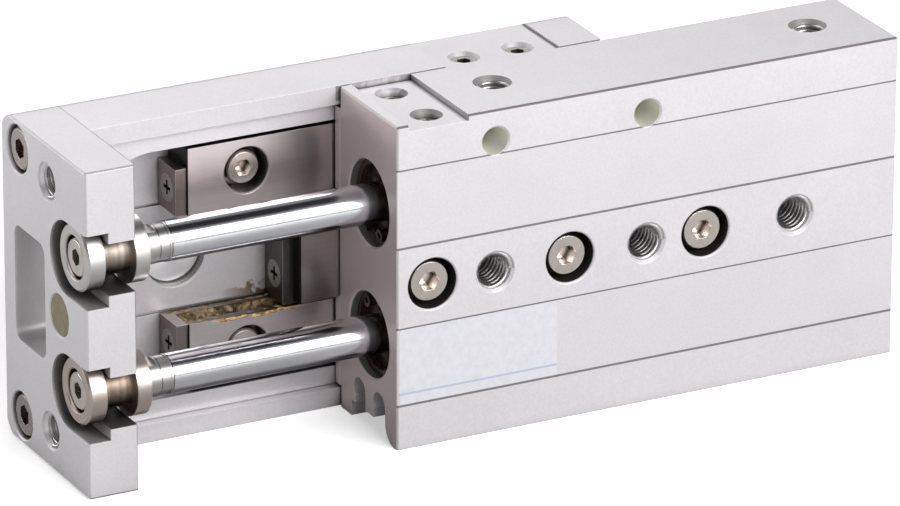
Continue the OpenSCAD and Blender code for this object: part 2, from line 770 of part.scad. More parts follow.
module slide_table() {
    groove = 0.5;
    color("gainsboro") placed() difference() {
        along_x(table_x, table_l) table_outline();
        facing_y(0, guide_front - 1, mid_z) mirror([0, 1, 0])
            linear_extrude(web_front - guide_front + 1) channel_outline();
        for (side = sides)
            translate([table_x - 1, web_front - eps, mid_z + side * (guide_side - 0.1) - groove / 2])
                cube([table_l + 2, 0.4, groove]);
        for (z = [-1, body_h - table_relief])
            translate([table_x + relief_in, rim_front - 1, z])
                cube([table_l - table_pad_l - relief_in, overall_d, 1 + table_relief]);
        facing_y(table_x + recess_in, web_front, mid_z) drilled(recess_d, recess_depth, 0.3);
        for (side = sides) {
            facing_x(table_x, plate_screw_y, mid_z + side * plate_screw_pitch / 2) drilled(m4, plate_thread + 0.6, 0.3);
            for (n = [0:2])
                facing_y(guide_screw_x + n * guide_screw_pitch, web_front, mid_z + side * guide_screw_z)
                    drilled(m3, web_t - 1.2, 0.2);
            for (n = [0:1])
                facing_y(table_x + table_tap_in + n * table_tap_pitch_x, overall_d,
                         mid_z + side * table_tap_pitch_z / 2)
                    mirror([0, 0, 1]) drilled(port_d, table_tap_depth, 0.4);
        }
        for (n = [0.5, 1]) facing_y(table_x + table_tap_in + n * table_tap_pitch_x, overall_d, mid_z)
            mirror([0, 0, 1]) drilled(locating_d, locating_depth, 0.3);
        for (n = [0:1])
            translate([table_x + preload_in + n * preload_pitch, preload_y, body_h - table_relief])
                mirror([0, 0, 1]) drilled(m4, body_h / 2 - channel_h / 2 + 1, 0.6);
        for (y = [rim_front, overall_d]) translate([table_x + table_l, y, 0]) edge_cut(body_h);
    }
}

module end_plate() {
    color("lightgray") placed() difference() {
        along_x(plate_x, end_t) difference() {
            translate([end_front, 0]) square([overall_d - end_front, body_h]);
            translate([overall_d, 0]) mirror([1, 0]) corner_waste(back_r);
            translate([overall_d, body_h]) mirror([1, 0]) mirror([0, 1]) corner_waste(back_r);
            translate([window_front + window_r, mid_z - window_half])
                square([window_d - 2 * window_r, 2 * window_half]);
            translate([window_front, mid_z - window_half + window_r])
                square([window_d, 2 * (window_half - window_r)]);
            for (y = [window_front + window_r, window_front + window_d - window_r], side = sides)
                translate([y, mid_z + side * (window_half - window_r)]) circle(window_r);
        }
        for (side = sides) {
            z = mid_z + side * bore_pitch / 2 - slot_drop;
            along_x(plate_x - eps, slot_step + eps) slot_outline(z, slot_wide);
            along_x(plate_x - eps, end_t + 2 * eps) slot_outline(z, slot_narrow);
            facing_x(plate_x, plate_tap_y, mid_z + side * plate_tap_pitch / 2) drilled(port_d, end_t + eps, 0.7);
            facing_x(plate_x, plate_screw_y, mid_z + side * plate_screw_pitch / 2)
                counterbored(m4_head_d + 0.8, m4_head_h + plate_sink, m4_clear_d, end_t + eps);
        }
        facing_x(plate_x, bumper_y, mid_z) drilled(bumper_d + 2 * seat_gap, end_t + eps, 0.25);
        for (x = [plate_x, table_x]) translate([x, end_front, 0]) edge_cut(body_h);
        translate([plate_x, overall_d, 0]) edge_cut(body_h);
        for (z = [0, body_h]) translate([plate_x, end_front, z]) rotate([-90, 0, 0]) edge_cut(overall_d);
        for (z = [0, body_h]) translate([plate_x, end_front, z]) rotate([0, 90, 0]) edge_cut(end_t);
    }
}

// A slot that ends round behind a rod's axis and opens to the front.
module slot_outline(z, w) {
    back = bore_y + slot_in;
    translate([back, z]) circle(d = w);
    translate([end_front - 1, z - w / 2]) square([back - end_front + 1, w]);
}

module end_plate_screws() {
    color("lightgray") placed() for (side = sides)
        translate([plate_x + plate_sink + m4_head_h, plate_screw_y, mid_z + side * plate_screw_pitch / 2])
            rotate([0, -90, 0])
                cap_screw(m4 - 2 * seat_gap, end_t - plate_sink - m4_head_h + plate_thread,
                          m4_head_d, m4_head_h, m4_hex);
}

// Rubber stop between the end plate and the body, pushed into the plate from the inside.
module end_bumper() {
    head_l = closed_gap - 0.1;
    sunk = 0.15;
    color("darkkhaki") placed() facing_x(plate_x + sunk, bumper_y, mid_z) {
        cylinder(h = end_t - sunk + eps, d = bumper_d);
        translate([0, 0, end_t - sunk]) cylinder(h = head_l - 0.5, d = bumper_d + 1.6);
        translate([0, 0, end_t - sunk + head_l - 0.5]) cylinder(h = 0.5, d1 = bumper_d + 1.6, d2 = bumper_d + 0.6);
    }
}

module preload_screws() {
    tip_d = 2.4;
    top = body_h - table_relief - 0.6;
    thread_l = top - (body_h - rim_h);
    tip_l = top - thread_l - (mid_z + guide_out) - 0.02;
    color("darkgray") placed() for (n = [0:1])
        translate([table_x + preload_in + n * preload_pitch, preload_y, top]) {
            set_screw(m4 - 2 * seat_gap, thread_l, plug_hex);
            translate([0, 0, -thread_l - tip_l]) cylinder(h = tip_l + eps, d = tip_d);
        }
}

// ---- rods, bushes and pistons ------------------------------------------------------------

bush_sink = m4_head_d / 2 - 0.9;              // depth of the bush's counterbore
bush_head_d = m4_head_d - 0.7;

// A flanged bush that floats in the end plate's slot.
module rod_bush(side) {
    lead = 0.35;
    l = rod_x - bush_x;
    color("silver") placed() facing_x(bush_x, bore_y, mid_z + side * bore_pitch / 2) difference() {
        union() {
            cylinder(h = lead, d1 = bush_flange_d - 2 * lead, d2 = bush_flange_d);
            translate([0, 0, lead]) cylinder(h = bush_outer_t - lead, d = bush_flange_d);
            cylinder(h = l, d = bush_neck_d);
            translate([0, 0, l - bush_inner_t]) cylinder(h = bush_inner_t, d = bush_flange_d);
        }
        drilled(bush_head_d + 0.7, bush_sink, 0.2);
        cylinder(h = l + eps, d = m4 + 0.2);
    }
}

module upper_bush() {
    rod_bush(1);
}

module lower_bush() {
    rod_bush(-1);
}

bush_screw_l = rod_x - bush_x - bush_sink + 7;

module bush_screws() {
    color("silver") placed() for (side = sides)
        translate([bush_x + bush_sink, bore_y, mid_z + side * bore_pitch / 2]) rotate([0, -90, 0])
            cap_screw(m4 - 2 * seat_gap, bush_screw_l, bush_head_d, bush_sink - 0.3, m3_hex);
}

// A rod from its bush to the far end of its piston.
module rod(side) {
    shaft_l = piston_in - rod_x;
    color("white") placed() facing_x(rod_x, bore_y, mid_z + side * bore_pitch / 2) difference() {
        union() {
            intersection() {
                cylinder(h = flats_l + eps, d = rod_d);
                translate([-flats_w / 2, -rod_d, 0]) cube([flats_w, 2 * rod_d, flats_l + eps]);
            }
            translate([0, 0, flats_l]) cylinder(h = turned_l + eps, d = rod_d - 0.24);
            translate([0, 0, flats_l + turned_l]) cylinder(h = shaft_l - flats_l - turned_l, d = rod_d);
            translate([0, 0, shaft_l - eps]) cylinder(h = piston_l + eps, d = spigot_d);
        }
        translate([0, 0, -eps]) cylinder(h = 8, d = m4);
    }
}

module upper_rod() {
    rod(1);
}

module lower_rod() {
    rod(-1);
}

// Where the grooves of a piston start, from its rod side.
seal_z = 1.4;
magnet_z = (piston_l - magnet_w) / 2;

module pistons() {
    outer_d = bore_d - 2 * run_gap;
    color("silver") placed() on_bores(piston_in) difference() {
        cylinder(h = piston_l, d = outer_d);
        translate([0, 0, -eps]) cylinder(h = piston_l + 2 * eps, d = spigot_d + 2 * seat_gap);
        for (z = [seal_z, piston_l - seal_z - seal_w]) translate([0, 0, z])
            ring(outer_d + 1, outer_d - 2 * seal_depth, seal_w);
        translate([0, 0, magnet_z]) ring(outer_d + 1, outer_d - 2 * seal_depth - 1, magnet_w);
    }
}

// A plain ring from z = 0.
module ring(outer_d, inner_d, h) {
    difference() {
        cylinder(h = h, d = outer_d);
        translate([0, 0, -eps]) cylinder(h = h + 2 * eps, d = inner_d);
    }
}

module piston_seals() {
    outer_d = bore_d - 2 * run_gap;
    color("black") placed() on_bores(piston_in)
        for (z = [seal_z, piston_l - seal_z - seal_w]) translate([0, 0, z + seat_gap])
            ring(outer_d, outer_d - 2 * seal_depth + 2 * seat_gap, seal_w - 2 * seat_gap);
}

module piston_magnets() {
    outer_d = bore_d - 2 * run_gap;
    color("dimgray") placed() on_bores(piston_in + magnet_z + seat_gap)
        ring(outer_d - 0.6, outer_d - 2 * seal_depth - 1 + 2 * seat_gap, magnet_w - 2 * seat_gap);
}

cylinder_body();
rod_covers();
rod_cover_rings();
rod_seals();
rod_cover_seals();
head_caps();
head_cap_rings();
head_cap_seals();
centre_rail();
rail_screws();
rail_stop_plates();
rail_stop_screws();
passage_plugs();
slide_table();
end_plate();
end_plate_screws();
end_bumper();
upper_guide();
lower_guide();
guide_screws();
guide_stop_plates();
guide_stop_screws();
preload_screws();
upper_bush();
lower_bush();
bush_screws();
upper_rod();
lower_rod();
pistons();
piston_seals();
piston_magnets();
upper_cage();
upper_rollers();
lower_cage();
lower_rollers();
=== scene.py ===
import json
import math

import bpy
from mathutils import Matrix, Vector


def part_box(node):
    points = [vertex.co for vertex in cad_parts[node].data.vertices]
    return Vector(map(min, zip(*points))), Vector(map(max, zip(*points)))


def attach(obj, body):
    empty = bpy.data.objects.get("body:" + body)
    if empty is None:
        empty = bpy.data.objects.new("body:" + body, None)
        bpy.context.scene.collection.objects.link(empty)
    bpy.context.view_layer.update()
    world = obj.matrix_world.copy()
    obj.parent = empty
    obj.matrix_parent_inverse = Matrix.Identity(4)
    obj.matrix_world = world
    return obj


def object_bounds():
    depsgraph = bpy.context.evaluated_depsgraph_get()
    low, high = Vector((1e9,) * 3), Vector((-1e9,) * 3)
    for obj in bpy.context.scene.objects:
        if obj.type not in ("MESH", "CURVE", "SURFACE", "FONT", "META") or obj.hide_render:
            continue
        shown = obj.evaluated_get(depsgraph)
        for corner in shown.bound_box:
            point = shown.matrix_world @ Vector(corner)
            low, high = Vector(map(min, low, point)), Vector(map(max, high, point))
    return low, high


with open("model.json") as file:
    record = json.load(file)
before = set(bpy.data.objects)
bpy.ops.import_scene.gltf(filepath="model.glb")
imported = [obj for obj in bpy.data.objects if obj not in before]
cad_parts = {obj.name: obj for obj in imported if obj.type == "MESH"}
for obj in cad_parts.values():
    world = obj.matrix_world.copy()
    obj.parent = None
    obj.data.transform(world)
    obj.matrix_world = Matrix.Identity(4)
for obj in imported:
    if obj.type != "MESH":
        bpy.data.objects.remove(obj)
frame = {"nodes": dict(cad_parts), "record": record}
cad_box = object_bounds()
MM = 0.001

# ---- camera ---------------------------------------------------------------------------
# A long lens looks down at the rod end of the table from the front left, so that the end
# plate, both rods and the body's front face show and parallel edges stay nearly parallel.

view_azimuth = math.radians(-27.14)
view_elevation = math.radians(22.01)
view_roll = math.radians(0.16)
view_distance = 1.276
lens_mm = 327.3
middle = (Vector(cad_box[0]) + Vector(cad_box[1])) / 2
aim = middle + Vector((-6.36, -10.93, 1.62)) * MM

forward = Vector((
    -math.sin(view_azimuth) * math.cos(view_elevation),
    math.cos(view_azimuth) * math.cos(view_elevation),
    -math.sin(view_elevation),
))
level_right = forward.cross(Vector((0, 0, 1))).normalized()
level_up = level_right.cross(forward)
right = math.cos(view_roll) * level_right + math.sin(view_roll) * level_up
up = right.cross(forward)
camera = bpy.data.objects.new("camera", bpy.data.cameras.new("camera"))
camera.data.lens = lens_mm
camera.data.clip_end = 20
camera.matrix_world = Matrix((
    (right.x, up.x, -forward.x, 0),
    (right.y, up.y, -forward.y, 0),
    (right.z, up.z, -forward.z, 0),
    (0, 0, 0, 1),
))
camera.location = aim - forward * view_distance
bpy.context.collection.objects.link(camera)
bpy.context.scene.camera = camera

# ---- studio ---------------------------------------------------------------------------
# White paper under the table and a white backdrop, with softboxes in front, behind and to
# the left. A dark gap overhead draws the black streak along the polished rods.


def put(tree, kind, inputs=(), **settings):
    """Adds a node. inputs maps a socket's name or number to a value or to another socket."""
    made = tree.nodes.new(kind)
    for key, value in settings.items():
        setattr(made, key, value)
    for socket, value in dict(inputs).items():
        if isinstance(value, bpy.types.NodeSocket):
            tree.links.new(value, made.inputs[socket])
        else:
            made.inputs[socket].default_value = value
    return made


def ramp(tree, factor, *stops):
    """A colour ramp through (position, grey or colour) stops; returns its colour socket."""
    made = put(tree, "ShaderNodeValToRGB", {"Fac": factor})
    elements = made.color_ramp.elements
    while len(elements) < len(stops):
        elements.new(0.5)
    for element, (position, shade) in zip(elements, stops):
        element.position = position
        grey = shade if isinstance(shade, tuple) else (shade,) * 3
        element.color = (*grey, 1)
    return made.outputs["Color"]


def sums(tree, operation, first, second=0.0):
    """One step of arithmetic on numbers or sockets; returns the result's socket."""
    return put(tree, "ShaderNodeMath", {0: first, 1: second}, operation=operation).outputs[0]


def vectors(tree, operation, *operands):
    """One step of vector arithmetic; returns the node's output sockets."""
    return put(tree, "ShaderNodeVectorMath", dict(enumerate(operands)), operation=operation).outputs


world = bpy.data.worlds.new("studio")
bpy.context.scene.world = world
world.use_nodes = True
sky = world.node_tree
sky.nodes.clear()
toward = put(sky, "ShaderNodeSeparateXYZ",
             {0: put(sky, "ShaderNodeTexCoord").outputs["Generated"]}).outputs
# Round the X axis: 0 is straight back, 0.5 overhead and 1 straight forward.
half_turns = sums(sky, "DIVIDE", sums(sky, "ARCTAN2", toward["Z"], toward["Y"]), math.pi)
round_set = sums(sky, "ABSOLUTE", half_turns)
studio_light = ramp(sky, round_set,
                    (0.0, 0.13), (0.40, 0.155), (0.46, 0.01), (0.63, 0.01), (0.68, 0.16),
                    (0.89, 0.18), (0.905, 0.85), (0.93, 0.72), (0.965, 0.34), (1.0, 0.20))
seen = put(sky, "ShaderNodeLightPath")
backdrop_white = put(sky, "ShaderNodeBackground", {"Color": (1, 1, 1, 1), "Strength": 1.0})
lighting = put(sky, "ShaderNodeBackground", {"Color": studio_light, "Strength": 1.6})
surroundings = put(sky, "ShaderNodeMixShader", {
    0: seen.outputs["Is Camera Ray"],
    1: lighting.outputs[0],
    2: backdrop_white.outputs[0],
})
put(sky, "ShaderNodeOutputWorld", {0: surroundings.outputs[0]})


def softbox(name, place, size, power, shade=(1, 1, 1)):
    """A rectangular lamp at place, in metres from the object's middle, aimed at it."""
    lamp = bpy.data.lights.new(name, "AREA")
    lamp.shape = "RECTANGLE"
    lamp.size, lamp.size_y = size
    lamp.energy = power
    lamp.color = shade
    holder = bpy.data.objects.new(name, lamp)
    holder.location = middle + Vector(place)
    holder.rotation_euler = (-Vector(place)).to_track_quat("-Z", "Y").to_euler()
    bpy.context.collection.objects.link(holder)


softbox("front_softbox", (0.28, -1.0, 0.58), (1.0, 0.7), 16.0)
softbox("back_softbox", (0.12, 0.85, 0.78), (0.9, 0.5), 4.0)
softbox("left_softbox", (-0.85, 0.75, 0.18), (0.8, 0.3), 6.0)

floor_half = 3.0
floor_mesh = bpy.data.meshes.new("floor")
floor_mesh.from_pydata(
    [(x * floor_half, y * floor_half, 0) for x, y in ((-1, -1), (1, -1), (1, 1), (-1, 1))],
    [], [(0, 1, 2, 3)])
floor = bpy.data.objects.new("floor", floor_mesh)
floor.location.z = cad_box[0][2]
bpy.context.collection.objects.link(floor)
paper = bpy.data.materials.new("white_paper_floor")
paper.use_nodes = True
sheet = paper.node_tree
sheet.nodes.clear()
on_sheet = put(sheet, "ShaderNodeTexCoord").outputs["Object"]
from_middle = vectors(sheet, "LENGTH", on_sheet)["Value"]
painted_floor_shade = ramp(sheet, from_middle, (0.03, 0.42), (0.08, 0.50), (0.20, 0.66), (0.50, 0.72))
# Painted shade: the paper as the metal mirrors it and as light bounces off it is grey, darker towards the
# middle under the set, and bright as the camera sees it.
matt_paper = put(sheet, "ShaderNodeBsdfDiffuse", {"Color": painted_floor_shade})
bright_paper = put(sheet, "ShaderNodeBsdfDiffuse", {"Color": (0.93, 0.93, 0.93, 1)})
paper_lift = put(sheet, "ShaderNodeEmission", {"Color": (1, 1, 1, 1), "Strength": 0.45})
lifted_paper = put(sheet, "ShaderNodeAddShader",
                   {0: bright_paper.outputs[0], 1: paper_lift.outputs[0]})
ray = put(sheet, "ShaderNodeLightPath").outputs
paper_seen = put(sheet, "ShaderNodeMixShader", {
    0: ray["Is Camera Ray"], 1: matt_paper.outputs[0], 2: lifted_paper.outputs[0]})
put(sheet, "ShaderNodeOutputMaterial", {0: paper_seen.outputs[0]})
floor_mesh.materials.append(paper)

bpy.context.scene.view_settings.view_transform = "Standard"

# ---- cylinder body and slide table ----------------------------------------------------
# Extruded and milled aluminium, bead blasted and clear anodised. The blasting leaves a fine
# even grain, and the colour drifts a little from one stretch of a face to the next.


def new_finish(name, **constants):
    """A material with one Principled shader; constants are set on the shader's own sockets."""
    made = bpy.data.materials.new(name)
    made.use_nodes = True
    shader = made.node_tree.nodes["Principled BSDF"]
    for socket, value in constants.items():
        shader.inputs[socket.replace("_", " ")].default_value = value
    return made, made.node_tree, shader


def object_noise(tree, per_mm, detail=3.0, stretch=(1, 1, 1), distortion=0.0):
    """Noise in object space, per_mm cycles to a millimetre; returns its factor socket."""
    place = put(tree, "ShaderNodeTexCoord").outputs["Object"]
    scaled = put(tree, "ShaderNodeMapping", {0: place, "Scale": stretch})
    made = put(tree, "ShaderNodeTexNoise", {
        "Vector": scaled.outputs[0], "Scale": per_mm * 1000, "Detail": detail,
        "Distortion": distortion})
    return made.outputs["Fac"]


def graded(tree, value, start=0.0, full=1.0, low=0.0, high=1.0):
    """low where value is start, high where it is full, and straight between, not past them."""
    return put(tree, "ShaderNodeMapRange", {
        0: value, 1: start, 2: full, 3: low, 4: high}).outputs[0]


def relief(tree, shader, heights, depth_mm, rounding_mm=0.0):
    """Bumps the shader by a height socket, over edges rounded by rounding_mm."""
    made = put(tree, "ShaderNodeBump",
               {"Height": heights, "Distance": depth_mm * MM, "Strength": 1.0})
    if rounding_mm:
        rounded = put(tree, "ShaderNodeBevel", {"Radius": rounding_mm * MM}, samples=4)
        tree.links.new(rounded.outputs[0], made.inputs["Normal"])
    tree.links.new(made.outputs[0], shader.inputs["Normal"])


def edge_highlight_and_wear(tree, radius_mm):
    """Near 1 along convex and concave edges, 0 on flats; a lighter colour laid there is partly wear and
    partly a painted highlight.
    """
    soft = put(tree, "ShaderNodeBevel", {"Radius": radius_mm * MM}, samples=4)
    flat = put(tree, "ShaderNodeNewGeometry").outputs["Normal"]
    agree = vectors(tree, "DOT_PRODUCT", soft.outputs[0], flat)["Value"]
    return graded(tree, agree, 0.995, 0.90)


def crevice_shade(tree, reach_mm, closed, open_share, shut_share=0.45, own_only=True):
    """Painted shade: 1 in open places and down to closed in corners that are narrower than reach_mm."""
    made = put(tree, "ShaderNodeAmbientOcclusion", {"Distance": reach_mm * MM},
               samples=8, only_local=own_only)
    return ramp(tree, made.outputs["AO"], (shut_share, closed), (open_share, 1.0))


def multiplied(tree, first, second):
    """The product of two colours."""
    return put(tree, "ShaderNodeMix", {0: 1.0, 6: first, 7: second},
               data_type="RGBA", blend_type="MULTIPLY").outputs[2]


def mixed(tree, share, first, second):
    """first where share is 0 and second where it is 1; a plain colour may stand for either."""
    first, second = [(*c, 1) if isinstance(c, tuple) else c for c in (first, second)]
    return put(tree, "ShaderNodeMix", {0: share, 6: first, 7: second}, data_type="RGBA").outputs[2]


def painted(tree, shader, socket, share, value):
    """Lays a colour or a number over what feeds the shader's socket, where share is 1."""
    target = shader.inputs[socket]
    under = target.links[0].from_socket if target.is_linked else target.default_value
    if target.type == "RGBA":
        tree.links.new(mixed(tree, share, under, value), target)
    else:
        blend = put(tree, "ShaderNodeMix", {0: share, 2: under, 3: value}, data_type="FLOAT")
        tree.links.new(blend.outputs[0], target)


def spot_of(tree):
    """The point's X, Y and Z sockets in object space."""
    return put(tree, "ShaderNodeSeparateXYZ",
               {0: put(tree, "ShaderNodeTexCoord").outputs["Object"]}).outputs


def radius_from(tree, first, second):
    """The distance from an axis, given the two offsets across it."""
    across = put(tree, "ShaderNodeCombineXYZ", {"X": first, "Y": second}).outputs[0]
    return vectors(tree, "LENGTH", across)["Value"]


def beyond(tree, value, start_mm, soft_mm=0.04):
    """1 where value is more than start_mm, fading over soft_mm on both sides of it."""
    return graded(tree, value, (start_mm - soft_mm) * MM, (start_mm + soft_mm) * MM)


def up_to(tree, value, end_mm, soft_mm=0.04):
    """1 where value is less than end_mm, fading over soft_mm on both sides of it."""
    return graded(tree, value, (end_mm + soft_mm) * MM, (end_mm - soft_mm) * MM)


def within(tree, value, low_mm, high_mm, soft_mm=0.04):
    """1 while value lies between low_mm and high_mm, fading over soft_mm on both sides."""
    return sums(tree, "MULTIPLY", beyond(tree, value, low_mm, soft_mm),
                up_to(tree, value, high_mm, soft_mm))


def overlap(tree, first, *others):
    """1 only where every share is 1."""
    for other in others:
        first = sums(tree, "MULTIPLY", first, other)
    return first


def tinted(tree, shader, share, tint):
    """Multiplies the shader's colour by a tint where share is 1."""
    under = shader.inputs["Base Color"].links[0].from_socket
    painted(tree, shader, "Base Color", share, multiplied(tree, under, (*tint, 1)))


def facing(tree, axis, start, full):
    """From 0 to 1 as the surface normal's part along X, Y or Z goes from start to full."""
    along = put(tree, "ShaderNodeSeparateXYZ",
                {0: put(tree, "ShaderNodeNewGeometry").outputs["Normal"]}).outputs[axis]
    return graded(tree, along, start, full)


def blasted_aluminium(name, shade, edge_shade, gap_reach=3.0):
    """Bead blasted and anodised; painted shade darkens corners and gaps narrower than gap_reach millimetres.
    """
    made, tree, shader = new_finish(name, Metallic=0.55, IOR=1.45)
    drift = object_noise(tree, 0.06, detail=2.0)
    grain = object_noise(tree, 2.6, detail=4.0)
    cloudy = ramp(tree, drift, (0.35, tuple(0.965 * c for c in shade)), (0.65, shade))
    speck = ramp(tree, grain, (0.3, 0.93), (0.7, 1.0))
    # Lighter worn edges carry a painted highlight, and painted shade darkens corners and gaps.
    worn_and_lit_edges = mixed(tree, edge_highlight_and_wear(tree, 0.12), multiplied(tree, cloudy, speck), edge_shade)
    corners = multiplied(tree, worn_and_lit_edges, crevice_shade(tree, 0.45, 0.30, 0.80))
    gaps = crevice_shade(tree, gap_reach, (0.06, 0.05, 0.045), 0.58, shut_share=0.10, own_only=False)
    tree.links.new(multiplied(tree, corners, gaps), shader.inputs["Base Color"])
    tree.links.new(graded(tree, grain, low=0.40, high=0.52), shader.inputs["Roughness"])
    relief(tree, shader, grain, 0.012, rounding_mm=0.08)
    return made, tree, shader


def finish_nodes(material, *names):
    """Gives CAD nodes a finish in their own material slots."""
    for name in names:
        mesh = frame["nodes"][name].data
        if not mesh.materials:
            mesh.materials.append(material)
        for slot in range(len(mesh.materials)):
            mesh.materials[slot] = material


body_low, body_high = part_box("cylinder_body")
body_left, body_front, body_top = body_low.x / MM, body_low.y / MM, body_high.z / MM
mid_height = (body_low.z + body_high.z) / 2
rod_boxes = [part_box(name) for name in ("lower_rod", "upper_rod")]
bore_heights = [(low.z + high.z) / 2 for low, high in rod_boxes]
bore_spacing = bore_heights[1] - bore_heights[0]
bore_depth = (rod_boxes[1][0].y + rod_boxes[1][1].y) / 2
mounts = {mount["name"]: mount for mount in frame["record"]["mounts"]}


def distance_from_bores(tree):
    """Distance from the nearer bore's axis, in metres."""
    spot = spot_of(tree)
    level = sums(tree, "SUBTRACT", spot["Z"], sum(bore_heights) / 2)
    rise = sums(tree, "SUBTRACT", sums(tree, "ABSOLUTE", level), bore_spacing / 2)
    return radius_from(tree, sums(tree, "SUBTRACT", spot["Y"], bore_depth), rise)


anodised_shade, anodised_edge = (0.82, 0.79, 0.815), (0.92, 0.91, 0.93)
body_finish, tree, shader = blasted_aluminium("anodised_body", anodised_shade, anodised_edge)
spot = spot_of(tree)
# Painted shade darkens the step lines of the two sunk bands along the front. They lie at two distances above
# and below the middle.
inner_step_mm, outer_step_mm, step_line_half_mm, step_line_depth_mm = 6.7, 19.65, 0.15, 0.35
height = sums(tree, "ABSOLUTE", sums(tree, "SUBTRACT", spot["Z"], mid_height))
steps = sums(tree, "ADD",
             within(tree, height, inner_step_mm - step_line_half_mm, inner_step_mm + step_line_half_mm),
             within(tree, height, outer_step_mm - step_line_half_mm, outer_step_mm + step_line_half_mm))
painted_step_shade = overlap(tree, steps, up_to(tree, spot["Y"], body_front + step_line_depth_mm))
painted(tree, shader, "Base Color", painted_step_shade, (0.22, 0.20, 0.22))
# Painted shade tints the end face at the rods a darker, warmer grey, where it lies behind the end plate.
end_face_skin_mm = 0.15
shaded_end_face = up_to(tree, spot["X"], body_left + end_face_skin_mm)
tinted(tree, shader, shaded_end_face, (0.88, 0.80, 0.775))
# Painted shade darkens the top front edge and the riser of the sunk top, which faces left.
edge_mm, sunk_top_mm, left_margin_mm, right_margin_mm = 0.32, 1.6, 2.0, 0.6
top_edge = overlap(tree, beyond(tree, spot["Z"], body_top - edge_mm),
                   up_to(tree, spot["Y"], body_front + edge_mm))
tinted(tree, shader, top_edge, (0.28, 0.26, 0.27))
off_ends = within(tree, spot["X"], body_left + left_margin_mm, body_high.x / MM - right_margin_mm)
to_left = facing(tree, "X", -0.80, -0.95)
riser = overlap(tree, off_ends, to_left, beyond(tree, spot["Z"], body_top - sunk_top_mm))
tinted(tree, shader, riser, (0.52, 0.50, 0.50))
# Painted shade darkens the holes of the top, and painted light makes the walls of the two side holes pale.
top_hole_depth_mm, side_hole_depth_mm = 9.0, 10.0
steep = facing(tree, "Z", 0.95, 0.85)
not_riser = sums(tree, "SUBTRACT", 1.0, to_left)
in_top_holes = overlap(tree, off_ends, steep, not_riser,
                       beyond(tree, spot["Z"], body_top - top_hole_depth_mm),
                       within(tree, spot["Y"], body_front + 0.5, body_front + 17.0))
tinted(tree, shader, in_top_holes, (0.50, 0.51, 0.48))
side_hole_mm = mounts["side_holes"]["pos_m"][2] / MM
side_hole_half_mm = mounts["side_holes"]["dims"]["hole_r_mm"] + 0.15
in_side_holes = overlap(
    tree, off_ends,
    within(tree, spot["Z"], side_hole_mm - side_hole_half_mm, side_hole_mm + side_hole_half_mm),
    within(tree, spot["Y"], body_front + 0.25, body_front + side_hole_depth_mm, 0.1))
painted(tree, shader, "Base Color", in_side_holes, (0.95, 0.955, 0.88))
# Painted shade blackens the walls of the rail screws' counterbores.
rail_screw_count, counterbore_depth_mm, counterbore_room_mm = 3, 9.0, 0.85
screws_low, screws_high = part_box("rail_screws")
head_radius = (screws_high.z - screws_low.z) / 2
screw_pitch = (screws_high.x - screws_low.x - 2 * head_radius) / (rail_screw_count - 1)
from_first = sums(tree, "SUBTRACT", spot["X"], screws_low.x + head_radius)
from_nearest = sums(tree, "PINGPONG", from_first, screw_pitch / 2)
from_screw = radius_from(tree, from_nearest, height)
in_counterbore = overlap(
    tree, up_to(tree, from_screw, head_radius / MM + counterbore_room_mm),
    within(tree, spot["Y"], body_front + 0.42, body_front + counterbore_depth_mm))
painted(tree, shader, "Base Color", in_counterbore, (0.05, 0.042, 0.038))
# Painted shade also darkens the mouths of the two bores, where the covers sit.
mouth_radius_mm, mouth_depth_mm = 7.12, 9.0
in_mouth = overlap(tree, up_to(tree, distance_from_bores(tree), mouth_radius_mm),
                   within(tree, spot["X"], body_left + 0.3, body_left + mouth_depth_mm, 0.1))
tinted(tree, shader, in_mouth, (0.40, 0.42, 0.39))
finish_nodes(body_finish, "cylinder_body")

# The table's web has a round recess left bright from the end mill, which turned about its axis.
table_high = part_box("slide_table")[1]
table_top_mm = table_high.z / MM
table_finish, tree, shader = blasted_aluminium("anodised_table", anodised_shade, anodised_edge)
recess_centre = Vector((-43.2, 12.2, 27.0)) * MM
recess_radius_mm, recess_rim_mm = 5.2, 0.25
place = put(tree, "ShaderNodeTexCoord").outputs["Object"]
from_centre = vectors(tree, "SUBTRACT", place, recess_centre)[0]
flattened = vectors(tree, "MULTIPLY", from_centre, (1, 0, 1))[0]
away = vectors(tree, "LENGTH", flattened)["Value"]
at_recess = within(tree, put(tree, "ShaderNodeSeparateXYZ", {0: from_centre}).outputs["Y"], -0.85, 1.2)
in_recess = overlap(tree, up_to(tree, away, recess_radius_mm), at_recess)
mill_path = vectors(tree, "CROSS_PRODUCT", flattened, (0, 1, 0))[0]
tree.links.new(vectors(tree, "NORMALIZE", mill_path)[0], shader.inputs["Tangent"])
painted(tree, shader, "Base Color", in_recess, (0.93, 0.93, 0.94))
painted(tree, shader, "Roughness", in_recess, 0.24)
painted(tree, shader, "Anisotropic", in_recess, 0.85)
# A ring of painted shade marks the edge of the recess.
recess_rim = overlap(
    tree, within(tree, away, recess_radius_mm - recess_rim_mm, recess_radius_mm + 0.02), at_recess)
painted(tree, shader, "Base Color", recess_rim, (0.12, 0.11, 0.10))
# Painted shade darkens the riser of the table's sunk top, which faces left.
spot = spot_of(tree)
table_riser_mm = 1.2
riser = overlap(tree, facing(tree, "X", -0.80, -0.95),
                beyond(tree, spot["Z"], table_top_mm - table_riser_mm))
tinted(tree, shader, riser, (0.45, 0.43, 0.43))
